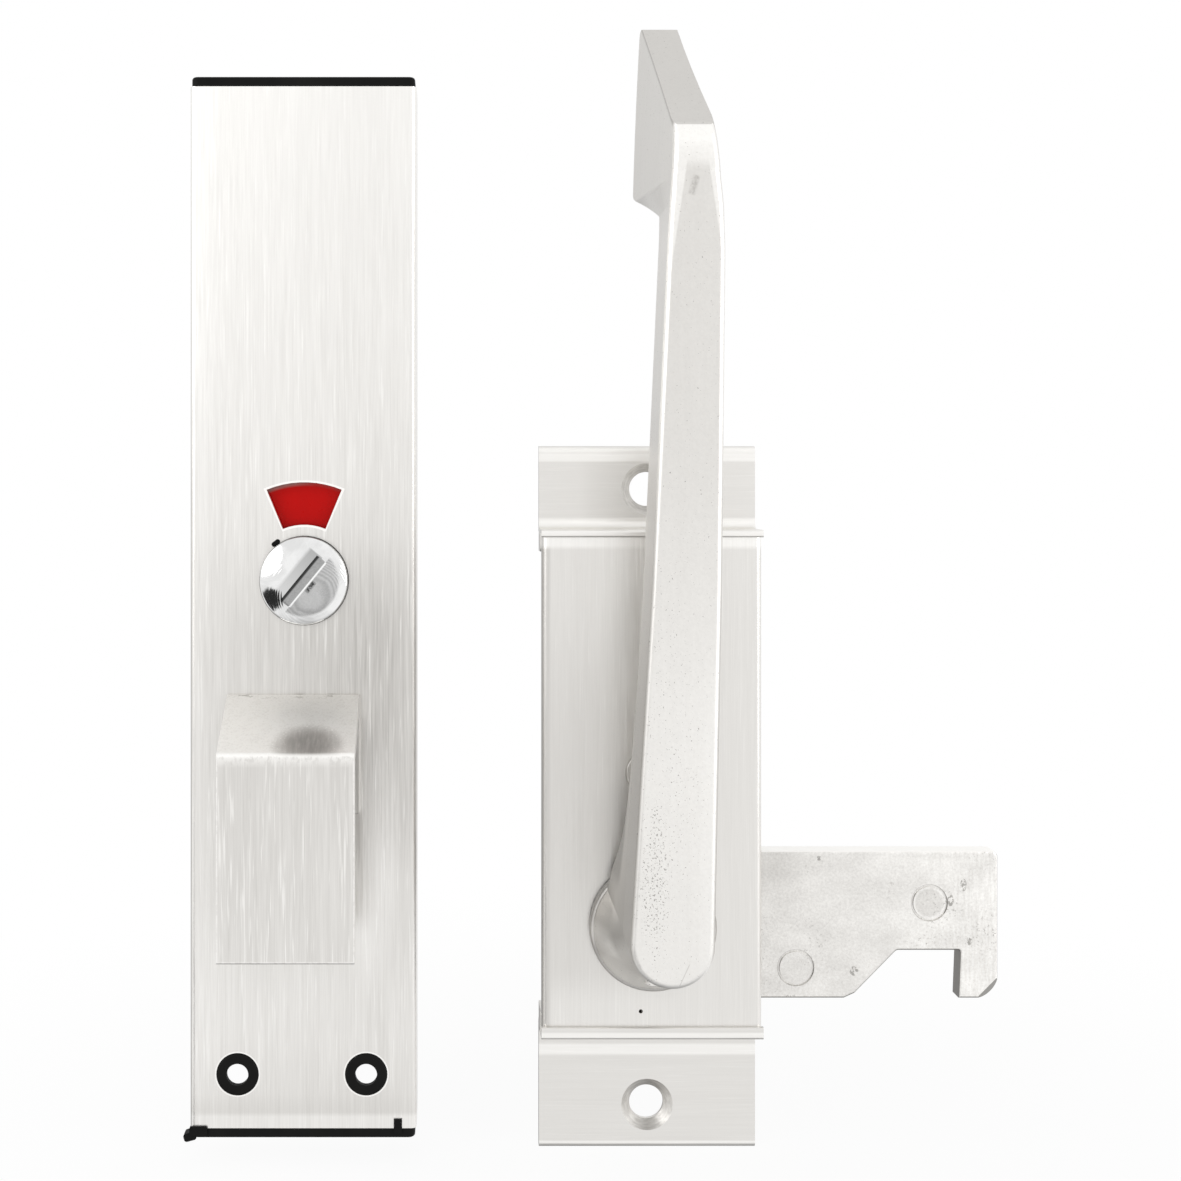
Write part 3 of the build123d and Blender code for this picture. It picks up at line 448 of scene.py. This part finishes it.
# Pull: painted light by height and facing, painted highlights along its bend and edges, and a painted dark
# reflection
PULL_DOWN = (0.010, -0.040, 0.725, 0.785)
PULL_TOP_FACING, PULL_TOP_LIGHT_LEVEL = (0.20, 0.40), 0.98
PULL_SIDE_FACING, PULL_SIDE_LIGHT_LEVEL = (0.60, 0.80), 0.86
PULL_BEND, PULL_LOWER_EDGE = (0.0114, 0.0138), (-0.0291, -0.0295)
PULL_LEFT_EDGE, PULL_RIGHT_EDGE = (-0.0931, -0.0934), (-0.0649, -0.0646)
PULL_FRONT = (-0.0310, -0.0318)
PULL_EDGE_BREAKUP, PULL_EDGE_HIGHLIGHT_LEVEL = (0.38, 0.55, 0.35, 1.0), 0.96
PULL_REFLECTION_SPOT, PULL_REFLECTION_SCRATCHES = (-0.0745, 0.0158, 0.0088, 0.0038), (0.30, 0.60, 0.78, 0.95)
PULL_REFLECTION_DEPTH, PULL_REFLECTION_LEVEL = (-0.0320, -0.0316), 0.36
JOINT_DARK_NOISE, JOINT_DARK_DEPTH, JOINT_DARK_LEVEL = (0.56, 0.64), (-0.0150, -0.0138), 0.55


def pull_brightness(made):
    """Painted light on the pull: a little whiter low down, and brighter on its sloping top and its sides."""
    level = made.span(made.z, *PULL_DOWN)
    level = made.between(made.span(made.face_z, *PULL_TOP_FACING), level, PULL_TOP_LIGHT_LEVEL)
    return made.between(made.span(made.face_x, *PULL_SIDE_FACING), level, PULL_SIDE_LIGHT_LEVEL)


def pull_highlights_and_marks(made, level):
    """Painted highlights along the pull's bend and edges, broken up by noise, a painted dark reflection on its
    sloping top, and patchy darkening near the joint with the plate."""
    edge_breakup = made.noise((1300.0, 1300.0, 900.0))
    # Painted highlights along the bend and the edges
    edge = made.largest(made.span(made.z, *PULL_BEND), made.span(made.z, *PULL_LOWER_EDGE),
                        made.span(made.x, *PULL_LEFT_EDGE), made.span(made.x, *PULL_RIGHT_EDGE))
    edge = made.times(edge, made.span(made.y, *PULL_FRONT), made.span(edge_breakup, *PULL_EDGE_BREAKUP))
    level = made.between(edge, level, PULL_EDGE_HIGHLIGHT_LEVEL)
    # Painted dark reflection on the sloping top, streaked by scratches
    scratches = made.noise((1700.0, 300.0, 240.0))
    patch = made.times(made.spot(*PULL_REFLECTION_SPOT), made.span(scratches, *PULL_REFLECTION_SCRATCHES))
    level = made.between(made.times(patch, made.span(made.y, *PULL_REFLECTION_DEPTH)), level, PULL_REFLECTION_LEVEL)
    # Patchy darkening near the joint with the plate
    joint_dark = made.span(made.noise((420.0, 900.0, 900.0)), *JOINT_DARK_NOISE)
    return made.between(made.times(joint_dark, made.span(made.y, *JOINT_DARK_DEPTH)), level, JOINT_DARK_LEVEL)


# Lever front: painted light by height, and painted highlights at the bend and on the bevelled edges
FRONT_DOWN = (0.100, 0.000, 0.735, 0.865)
FRONT_LOW, FRONT_RIGHT_GAIN = (0.045, 0.015), (0.003, 0.009, 0.0, 0.05)
FRONT_MIDDLE_X = 0.0050
BEND, BEND_SHOULDERS, BEND_HIGHLIGHT_LEVEL = (0.1336, 0.1364), (0.0022, 0.0072, 0.0, 0.0330), 0.88
EDGE_FACING, EDGE_DEPTH = (-0.995, -0.95), (-0.0240, -0.0270)
LEFT_EDGE, RIGHT_EDGE, LEFT_TO_RIGHT = (0.050, 0.128, 0.75, 1.0), (0.010, 0.060, 0.90, 1.0), (-0.1, 0.1)


def lever_front(made):
    """Painted light on the front: whiter low down, with painted highlights at the bend and on its edges."""
    low_right = made.times(made.span(made.z, *FRONT_LOW), made.span(made.x, *FRONT_RIGHT_GAIN))
    panel = made.plus(made.span(made.z, *FRONT_DOWN, smooth=True), low_right)
    beyond = made.span(made.size(made.minus(made.x, FRONT_MIDDLE_X)), *BEND_SHOULDERS)
    panel = made.between(made.span(made.plus(made.z, beyond), *BEND, smooth=True), panel, BEND_HIGHLIGHT_LEVEL)
    edge = made.times(made.span(made.face_y, *EDGE_FACING), made.span(made.y, *EDGE_DEPTH))
    edge_highlight_level = made.between(made.span(made.face_x, *LEFT_TO_RIGHT),
                              made.span(made.z, *LEFT_EDGE), made.span(made.z, *RIGHT_EDGE))
    return made.between(edge, panel, edge_highlight_level)


SIDE_LOWER = (0.025, 0.060, 0.59, 0.67)
SIDE_UPPER_GAIN, SIDE_RETURN_LOSS = (0.062, 0.086, 0.0, 0.20), (0.120, 0.130, 0.0, -0.07)
CREASE, CREASE_HEIGHT, CREASE_SHADE_LEVEL = (LEAN_AWAY - 0.0008, LEAN_AWAY - 0.0002), (0.140, 0.142), 0.55


def lever_side(made):
    """Painted shade on the sides, darker low down, with a painted shade line along the sloping top of the
    return.
    """
    level = made.plus(made.span(made.z, *SIDE_LOWER), made.span(made.z, *SIDE_UPPER_GAIN),
                      made.span(made.z, *SIDE_RETURN_LOSS))
    outward = made.plus(made.times(made.z, LEAN_Z), made.times(made.y, LEAN_Y))
    crease = made.times(made.span(outward, *CREASE), made.span(made.z, *CREASE_HEIGHT))
    return made.between(crease, level, CREASE_SHADE_LEVEL)


# Boss and foot: painted light and shade, with a painted glow, a lit band, a shaded rim and a shaded patch
FOOT_DOWN, FOOT_LOW_GAIN = (-0.0180, -0.0120, 0.60, 0.38), (-0.030, -0.041, 0.0, 0.20)
FOOT_GLOW_SPOT, FOOT_GLOW = (0.0, -0.0190, 0.1, 0.0060), 0.13
BOSS_RIM_SHADE = (-0.0166, -0.0158, 1.0, 0.62)
LIT_TOP, LIT_BOTTOM, LIT_FACTOR = (-0.0238, -0.0268), (-0.0310, -0.0280), 1.40
SHADED_DOWN, SHADED_ACROSS, SHADED_FACTOR = (-0.0250, -0.0205), (-0.0085, -0.0100), 0.57


def lever_foot(made):
    """Painted light and shade on the boss and foot of the arm, evened out to a flat grey that is paler low
    down.
    """
    glow = made.times(made.spot(*FOOT_GLOW_SPOT), FOOT_GLOW)
    level = made.plus(glow, made.span(made.z, *FOOT_LOW_GAIN, smooth=True), made.span(made.z, *FOOT_DOWN))
    level = made.times(level, made.span(made.y, *BOSS_RIM_SHADE))
    lit = made.times(made.span(made.z, *LIT_TOP), made.span(made.z, *LIT_BOTTOM))
    level = made.times(level, made.between(lit, 1.0, LIT_FACTOR))
    shaded = made.times(made.span(made.z, *SHADED_DOWN), made.span(made.x, *SHADED_ACROSS))
    return made.times(level, made.between(shaded, 1.0, SHADED_FACTOR))


BEHIND_RETURN, BELOW_RETURN, FACING_BACK = (-0.0485, -0.0470), (0.134, 0.130), (-0.2, 0.1)
FACING_SIDEWAYS = (0.55, 0.85)
FOOT_DEPTH, FOOT_HEIGHT = (-0.0270, -0.0240), (0.020, 0.010)
FACING_UP, RETURN_HEIGHT, RETURN_TOP_SHADE_LEVEL = (0.45, 0.60), (0.140, 0.144), 0.69
FACING_DOWN_LIGHT_GAIN = (-0.15, -0.45, 1.0, 1.35)


def lever_brightness(made):
    """Painted light and shade on the lever's front, sides and foot, each by the way it faces and the place it
    has.
    """
    behind = made.times(made.span(made.y, *BEHIND_RETURN), made.span(made.z, *BELOW_RETURN))
    behind = made.largest(behind, made.span(made.face_y, *FACING_BACK))
    sideways = made.span(made.size(made.face_x), *FACING_SIDEWAYS)
    level = made.between(made.largest(sideways, behind), lever_front(made), lever_side(made))
    foot = made.times(made.span(made.y, *FOOT_DEPTH), made.span(made.z, *FOOT_HEIGHT))
    level = made.between(foot, level, lever_foot(made))
    # Painted shade on the sloping top of the return, and painted light on faces turned down
    top = made.times(made.span(made.face_z, *FACING_UP), made.span(made.z, *RETURN_HEIGHT))
    level = made.between(top, level, RETURN_TOP_SHADE_LEVEL)
    return made.times(level, made.span(made.face_z, *FACING_DOWN_LIGHT_GAIN))


PIT_SCATTER, PIT_SCATTER_GAIN = (0.50, 0.75), 0.020
PIT_LIMIT, PIT_EDGE, PIT_FACTOR = 0.695, (0.0, 0.02), 0.50
MORE_PITS = ((-0.0036, -0.0095, 0.0038, 0.0210), 0.085), ((-0.0020, 0.0150, 0.0100, 0.0500), 0.030)
SMUDGE_GRAIN, SMUDGE_FACTOR, SCRATCH_FACTOR = (0.35, 0.60), 0.72, 0.80


def satin_casting():
    """Linished casting of the lever: soft and faintly streaked, with fine open pits and a few marks."""
    made = Shade("satin_casting")
    streak = made.noise((700.0, 700.0, 26.0))
    grain = made.noise(1500.0, detail=4.0, roughness=0.7)
    cloud = made.noise((60.0, 60.0, 30.0))
    mottle = made.plus(made.sway(streak, 0.010), made.sway(cloud, 0.014), made.sway(grain, 0.030))
    # The lever's painted light and shade, mottled
    level = made.times(lever_brightness(made), made.plus(mottle, 1.0))
    speck = made.noise(2300.0, detail=2.0, roughness=0.75)
    scatter = made.noise((70.0, 70.0, 50.0), detail=2.0)
    ease = made.times(made.span(scatter, *PIT_SCATTER), PIT_SCATTER_GAIN)
    for place, gain in MORE_PITS:
        ease = made.scaled(made.spot(*place), gain, ease)
    pit = made.span(made.minus(made.plus(speck, ease), PIT_LIMIT), *PIT_EDGE)
    level = made.times(level, made.between(pit, 1.0, PIT_FACTOR))
    smudge = made.times(made.stroke(*SMUDGE), made.span(grain, *SMUDGE_GRAIN))
    level = made.times(level, made.between(smudge, 1.0, SMUDGE_FACTOR))
    level = made.times(level, made.between(made.stroke(*SCRATCH), 1.0, SCRATCH_FACTOR))
    made.colour(made.metal(level))
    made.rough(made.spread(grain, 0.36, 0.50))
    made.bump(grain, 0.000020)
    made.bump(streak, 0.000012)
    made.bump(made.minus(1.0, pit), 0.00003, strength=0.6)
    return made.material


RING_GROOVE_DARK, RING_INNER, RING_OUTER, RING_FACTOR = (0.35, 0.60, 0.2, 0.9), 0.60, 0.53, 0.58
RING_MIDDLE, RING_MIDDLE_FACTOR = (0.78, 0.86), 0.86
DENT_EDGE, DENT_STAIN, DENT_LEVEL = (0.0, 0.3), (0.47, 0.53), 0.42


def bolt_marks(made, level, stain):
    """Darker grooves in the bolt's two cast rings, a darker middle in the right one, and dents."""
    groove_dark = made.span(stain, *RING_GROOVE_DARK)
    for ring_x, ring_z in RINGS:
        around = made.spot(ring_x, ring_z, RING_FADE)
        groove = made.times(made.above(around, RING_OUTER), made.below(around, RING_INNER))
        level = made.times(level, made.between(made.times(groove, groove_dark), 1.0, RING_FACTOR))
    middle = made.span(made.spot(*RINGS[1], RING_FADE), *RING_MIDDLE)
    level = made.times(level, made.between(middle, 1.0, RING_MIDDLE_FACTOR))
    for place in DENTS:
        dent = made.times(made.span(made.spot(*place), *DENT_EDGE), made.span(stain, *DENT_STAIN))
        level = made.between(dent, level, DENT_LEVEL)
    return level


BOLT_ACROSS = (0.022, 0.080, 0.80, 0.875)
BOLT_SHADE_SPOT, BOLT_SHADE = (0.0240, -0.0150, 0.0130, 0.0080), 0.09
BOLT_CLOUDS, BOLT_SCRAPES, BOLT_SCRAPED = (0.32, 0.68, -0.07, 0.07), (0.35, 0.65, -0.06, 0.06), (0.055, 0.075)
SPECK_STAIN, SPECK_SCATTER, SPECK_FACTOR = (0.58, 0.64), (0.45, 0.62), 0.60
# Painted shade on the bolt's sides and underside, and a painted highlight on its top
BOLT_SIDEWAYS, BOLT_SIDE_SHADE_LEVEL = (0.60, 0.80), 0.42
BOLT_DOWNWARD, BOLT_UNDERSIDE_SHADE_LEVEL = (-0.30, -0.50), 0.45
BOLT_UPWARD, BOLT_TOP_HIGHLIGHT_LEVEL = (0.50, 0.70), 1.0


def mottled_casting():
    """Raw casting of the bolt: dull and softly clouded, with dark specks, darker grooves in its two rings,
    painted shade on its sides and underside and a painted highlight on its top.
    """
    made = Shade("mottled_casting")
    cloud = made.noise((120.0, 120.0, 170.0), detail=5.0, roughness=0.6, distortion=0.2)
    skin = made.noise(1700.0, detail=4.0, roughness=0.7)
    stain = made.noise(1150.0, roughness=0.75)
    scrape = made.noise((1500.0, 300.0, 130.0), detail=2.0)
    level = made.span(made.x, *BOLT_ACROSS, smooth=True)
    level = made.minus(level, made.times(made.spot(*BOLT_SHADE_SPOT), BOLT_SHADE))
    scraped = made.times(made.span(scrape, *BOLT_SCRAPES), made.span(made.x, *BOLT_SCRAPED))
    mottle = made.plus(made.span(cloud, *BOLT_CLOUDS), made.sway(skin, 0.10), scraped)
    level = made.times(level, made.plus(mottle, 1.0))
    where = made.span(made.noise(60.0, detail=2.0), *SPECK_SCATTER)
    specks = made.times(made.span(stain, *SPECK_STAIN), where)
    level = made.times(level, made.between(specks, 1.0, SPECK_FACTOR))
    level = bolt_marks(made, level, stain)
    # Painted shade on the sides and underside, and a painted highlight on the top
    level = made.between(made.span(made.size(made.face_x), *BOLT_SIDEWAYS), level, BOLT_SIDE_SHADE_LEVEL)
    level = made.between(made.span(made.face_z, *BOLT_DOWNWARD), level, BOLT_UNDERSIDE_SHADE_LEVEL)
    level = made.between(made.span(made.face_z, *BOLT_UPWARD), level, BOLT_TOP_HIGHLIGHT_LEVEL)
    made.colour(made.metal(level))
    made.rough(made.spread(cloud, 0.38, 0.52))
    made.bump(cloud, 0.00008, strength=0.5)
    made.bump(skin, 0.000026)
    return made.material


# Coin slot: painted shade on its floor, and a painted highlight on its lip
SLOT_FLOOR, SLOT_PLAY = (0.30, 0.70, 0.34, 0.44), 0.0001
SLOT_SHADE, SLOT_SHADE_LEVEL = (-SLOT_HALF_WIDTH + 0.00065, -SLOT_HALF_WIDTH + 0.00035), 0.05
LIP_START = (SLOT_HALF_WIDTH - 0.0002, SLOT_HALF_WIDTH)
LIP_END = (SLOT_HALF_WIDTH + 0.0004, SLOT_HALF_WIDTH + 0.0002)


def slot_level(made, level, radius, over, fine):
    """Painted shade in the coin slot: a grey floor with a darker line of shade along one side, and a painted
    highlight on the lip along the other. Over is the distance across the slot."""
    in_reach = made.below(radius, SLOT_HALF_LENGTH)
    inside = made.times(made.below(made.size(over), SLOT_HALF_WIDTH + SLOT_PLAY), in_reach)
    floor = made.between(made.span(over, *SLOT_SHADE), made.span(fine, *SLOT_FLOOR), SLOT_SHADE_LEVEL)
    level = made.between(inside, level, floor)
    lip = made.times(made.span(over, *LIP_START), made.span(over, *LIP_END), in_reach)
    return made.between(lip, level, 1.0)


# Turn: painted reflections in patches and in a band beside the slot, scraped rings, and painted shade on the
# edge
CHROME_REFLECTION_PATCHES = (0.35, 0.65, 0.90, 0.78)
REFLECTION_BAND_ABOVE, REFLECTION_BAND_LENGTH = (-0.0038, -0.0030), (0.0068, 0.0065)
REFLECTION_BAND_LEVELS = (-0.0065, 0.0065, 0.72, 0.47)
RING_COUNT, RING_WOBBLE, RING_LEVELS = 55.0, 6.0, (-1.0, 1.0, 0.43, 0.56)
WORN_BELOW, WORN_RADIUS, WORN_ROUGHNESS = (0.0011, 0.0013), (0.0080, 0.0074), 0.22
DARK_REFLECTION_GRAIN, DARK_REFLECTION_LEVEL = (0.30, 0.55), 0.06
TURN_EDGE_SHADE, TURN_EDGE_SHADE_LEVEL = (0.00955, 0.00975), 0.18


def polished_chrome():
    """Bright plated turn: painted reflections, scraped lower half, painted dull band by the slot, painted
    shaded edge.
    """
    made = Shade("polished_chrome")
    radius, angle = made.about_turn()
    from_slot = made.minus(angle, radians(90 - SLOT_ANGLE))
    over = made.times(radius, made.math("SINE", from_slot))
    length = made.times(radius, made.math("COSINE", from_slot))
    patch = made.noise(190.0, distortion=0.6)
    fine = made.noise(2600.0)
    # Painted reflections in patches
    level = made.span(patch, *CHROME_REFLECTION_PATCHES, smooth=True)
    # Painted dull reflection in a band beside the slot
    band = made.times(made.span(over, *REFLECTION_BAND_ABOVE), made.below(over, 0.0),
                      made.span(made.size(length), *REFLECTION_BAND_LENGTH))
    level = made.between(band, level, made.span(length, *REFLECTION_BAND_LEVELS))
    rings = made.spot(SCRAPE_X, SCRAPE_Z, SCRAPE_FADE)
    rings = made.math("SINE", made.scaled(rings, RING_COUNT, made.times(patch, RING_WOBBLE)))
    scraped = made.plus(made.span(rings, *RING_LEVELS), made.sway(fine, 0.04))
    worn = made.times(made.span(over, *WORN_BELOW), made.span(radius, *WORN_RADIUS))
    level = made.between(worn, level, scraped)
    # Painted dark reflection on the scraped part
    dark_reflection = made.stroke(DARK_REFLECTION_START, DARK_REFLECTION_END, DARK_REFLECTION_HALF_WIDTH)
    level = made.between(made.times(dark_reflection, made.span(fine, *DARK_REFLECTION_GRAIN)), level, DARK_REFLECTION_LEVEL)
    level = slot_level(made, level, radius, over, fine)
    # Painted shade on the outer edge
    level = made.between(made.span(radius, *TURN_EDGE_SHADE), level, TURN_EDGE_SHADE_LEVEL)
    made.colour(made.mix(level, BLACK, CHROME))
    made.rough(made.plus(made.span(patch, 0.3, 0.75, 0.04, 0.10), made.times(worn, WORN_ROUGHNESS)))
    made.bump(made.span(rings, -1.0, 1.0), 0.000006)
    made.bump(patch, 0.00008, strength=0.4)
    return made.material


QUARTER, HALF_QUARTER = radians(90), radians(45)
WINDOW_TOP, WINDOW_TOP_SHADE = (0.0207, 0.0214), (0.10, -0.10, 0.15, 0.75)


def indicator_paint():
    """Gloss paint of the disc: red, and green in the quarter that the turn brings to the window."""
    made = Shade("indicator_paint", metallic=0.0, specular=0.12)
    radius, angle = made.about_turn()
    free = made.below(made.size(made.plus(angle, QUARTER)), HALF_QUARTER)
    peel = made.noise(900.0, detail=2.0)
    cloud = made.noise(90.0, detail=2.0)
    deeper = made.span(cloud, 0.35, 0.7, 0.0, 0.5)
    paint = made.mix(free, made.mix(deeper, RED, DEEP_RED), made.mix(deeper, GREEN, DEEP_GREEN))
    shade = made.times(made.span(radius, *WINDOW_TOP), made.span(angle, *WINDOW_TOP_SHADE))
    made.colour(made.mix(shade, paint, WINDOW_SHADE))
    made.rough(made.spread(peel, 0.26, 0.38))
    made.bump(peel, 0.00001)
    return made.material


def black_moulding():
    """Matte black plastic with a fine spark-eroded skin."""
    made = Shade("black_moulding", metallic=0.0, specular=0.10)
    skin = made.noise(1400.0, detail=4.0, roughness=0.7)
    cloud = made.noise(80.0)
    made.colour(made.mix(made.span(cloud, 0.35, 0.7), SOOT, PALE_SOOT))
    made.rough(made.spread(skin, 0.42, 0.62))
    made.bump(skin, 0.00002)
    return made.material


def plated_steel(name, pale, dark, roughness):
    """Plated or blackened steel with a fine rolled grain and a cloudy surface."""
    made = Shade(name)
    grain = made.noise((1200.0, 1200.0, 60.0), detail=4.0)
    cloud = made.noise(110.0, detail=4.0, distortion=0.5)
    made.colour(made.mix(made.span(cloud, 0.35, 0.68), pale, dark))
    made.rough(made.spread(grain, roughness - 0.06, roughness + 0.10))
    made.bump(grain, 0.00001)
    return made.material


def pale_nylon():
    """Dull off-white plastic."""
    made = Shade("pale_nylon", metallic=0.0)
    skin = made.noise(900.0)
    made.colour(made.mix(made.spread(skin, 0.0, 1.0), PALE_NYLON, NYLON))
    made.rough(made.spread(skin, 0.38, 0.52))
    made.bump(skin, 0.00001)
    return made.material


def dress(material, *nodes):
    """Gives a material to CAD nodes."""
    for name in nodes:
        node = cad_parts[name]
        if not node.material_slots:
            node.data.materials.append(material)
        for place in node.material_slots:
            place.material = material


def dress_all():
    dress(brushed("brushed_plate", "Z", plate_brightness, plate_contrast, sheen_and_marks=rim_highlight), "outer_plate")
    dress(brushed("brushed_cover", "Z", cover_brightness, 0.013), "body_cover")
    dress(brushed("brushed_pull", "Z", pull_brightness, 0.034, glint=6.0, sheen_and_marks=pull_highlights_and_marks), "pull_handle")
    dress(brushed("drawn_bracket", "X", bracket_brightness, 0.010, roughness=0.36),
          "top_bracket", "bottom_bracket")
    dress(brushed("rivet_face", "Z", 0.80, 0.02), "spring_rivet")
    dress(satin_casting(), "lever_handle")
    dress(mottled_casting(), "hook_bolt")
    dress(polished_chrome(), "coin_turn")
    dress(indicator_paint(), "indicator_disc")
    dress(black_moulding(), "top_end_cap", "bottom_end_cap", "backing_plate", "turn_washer")
    dress(plated_steel("plated_steel", PALE_ZINC, ZINC, 0.30),
          "pull_screws", "spring_washer", "turn_clip", "friction_spring", "back_plate",
          "back_plate_rivets", "spindle", "spindle_clip")
    dress(plated_steel("black_steel", PALE_BLACKENED, BLACKENED, 0.40), "lever_grub_screw")
    dress(pale_nylon(), "bolt_washer", "lever_bush")


def make_world():
    """White behind the object. In reflections the room is white in front and at the right, grey behind on
    the left, greyer low down, with one small dark opening low on the left."""
    world = bpy.data.worlds.new("studio")
    bpy.context.scene.world = world
    world.use_nodes = True
    tree = world.node_tree
    nodes = tree.nodes
    nodes.clear()

    def give(value, target):
        if isinstance(value, float):
            target.default_value = value
        else:
            tree.links.new(value, target)

    def background(strength):
        node = nodes.new("ShaderNodeBackground")
        node.inputs["Color"].default_value = WHITE
        node.inputs["Strength"].default_value = strength
        return node

    def span(value, *limits):
        node = nodes.new("ShaderNodeMapRange")
        node.interpolation_type = "SMOOTHSTEP"
        for name, limit in zip(("From Min", "From Max", "To Min", "To Max"), limits):
            give(limit, node.inputs[name])
        give(value, node.inputs["Value"])
        return node.outputs["Result"]

    def math(operation, first, second):
        node = nodes.new("ShaderNodeMath")
        node.operation = operation
        give(first, node.inputs[0])
        give(second, node.inputs[1])
        return node.outputs["Value"]

    def blend(amount, first, second):
        node = nodes.new("ShaderNodeMixShader")
        for value, target in zip((amount, first.outputs[0], second.outputs[0]), node.inputs):
            give(value, target)
        return node

    place = nodes.new("ShaderNodeTexCoord").outputs["Generated"]
    split = nodes.new("ShaderNodeSeparateXYZ")
    give(place, split.inputs["Vector"])
    right, back, up = split.outputs
    behind = span(up, *BEHIND_UP)
    behind = span(right, *BEHIND_RIGHT, behind, 1.0)
    room_tone = span(back, *TO_BEHIND, 1.0, behind)
    room_tone = math("MULTIPLY", room_tone, span(up, *LOW_DOWN))
    toward = nodes.new("ShaderNodeVectorMath")
    toward.operation = "DOT_PRODUCT"
    toward.inputs[1].default_value = Vector(OPENING).normalized()
    give(place, toward.inputs[0])
    room_tone = math("MULTIPLY", room_tone, span(toward.outputs["Value"], *OPENING_FADE))
    room = background(1.0)
    give(room_tone, room.inputs["Color"])

    seen = nodes.new("ShaderNodeLightPath").outputs
    clear = math("MAXIMUM", seen["Is Camera Ray"], seen["Is Transmission Ray"])
    reflected = blend(seen["Is Glossy Ray"], background(DIFFUSE_ROOM), room)
    final = blend(clear, reflected, background(1.0))
    output = nodes.new("ShaderNodeOutputWorld")
    give(final.outputs[0], output.inputs["Surface"])


def make_floor():
    """Pale floor at the object's lowest point, which fades to white away from it."""
    mesh = bpy.data.meshes.new("floor")
    corners = [(-FLOOR_HALF, -FLOOR_HALF, FLOOR_Z), (FLOOR_HALF, -FLOOR_HALF, FLOOR_Z),
               (FLOOR_HALF, FLOOR_HALF, FLOOR_Z), (-FLOOR_HALF, FLOOR_HALF, FLOOR_Z)]
    mesh.from_pydata(corners, [], [(0, 1, 2, 3)])
    floor = bpy.data.objects.new("floor", mesh)
    bpy.context.scene.collection.objects.link(floor)
    made = Shade("pale_floor", metallic=0.0, specular=0.1)
    made.shader.inputs["Base Color"].default_value = FLOOR_COLOUR
    made.shader.inputs["Roughness"].default_value = FLOOR_ROUGHNESS
    away = made.math("SQRT", made.plus(made.times(made.x, made.x), made.times(made.y, made.y)))
    blend = made.add("ShaderNodeMixShader")
    made.link(made.span(away, *FLOOR_TO_WHITE, smooth=True), blend.inputs[0])
    made.link(made.shader.outputs[0], blend.inputs[1])
    made.link(made.add("ShaderNodeEmission").outputs[0], blend.inputs[2])
    made.link(blend.outputs[0], made.nodes["Material Output"].inputs["Surface"])
    floor.data.materials.append(made.material)
    floor.visible_glossy = False


def make_lights():
    """Round soft lamps on both sides of the front."""
    for name, place, power in LAMPS:
        data = bpy.data.lights.new(name, "AREA")
        data.shape = "DISK"
        data.size = LAMP_SIZE
        data.energy = power
        lamp = bpy.data.objects.new(name, data)
        bpy.context.scene.collection.objects.link(lamp)
        lamp.location = place
        lamp.rotation_euler = (Vector(place) - Vector(LAMP_TARGET)).to_track_quat("Z", "Y").to_euler()


def make_camera():
    """The camera that the edges of the photograph fit."""
    data = bpy.data.cameras.new("camera")
    data.sensor_fit = "HORIZONTAL"
    data.sensor_width = SENSOR_MM
    data.lens = FOCAL_PIXELS / PICTURE * SENSOR_MM
    data.shift_x = (PICTURE / 2 - AXIS_PIXEL[0]) / PICTURE
    data.shift_y = (AXIS_PIXEL[1] - PICTURE / 2) / PICTURE
    data.clip_start = 0.01
    camera = bpy.data.objects.new("camera", data)
    bpy.context.scene.collection.objects.link(camera)
    camera.location = CAMERA_PLACE
    camera.rotation_euler = (radians(90), 0, 0)
    bpy.context.scene.camera = camera


bpy.context.scene.view_settings.view_transform = "Standard"
dress_all()
make_world()
make_floor()
make_lights()
make_camera()
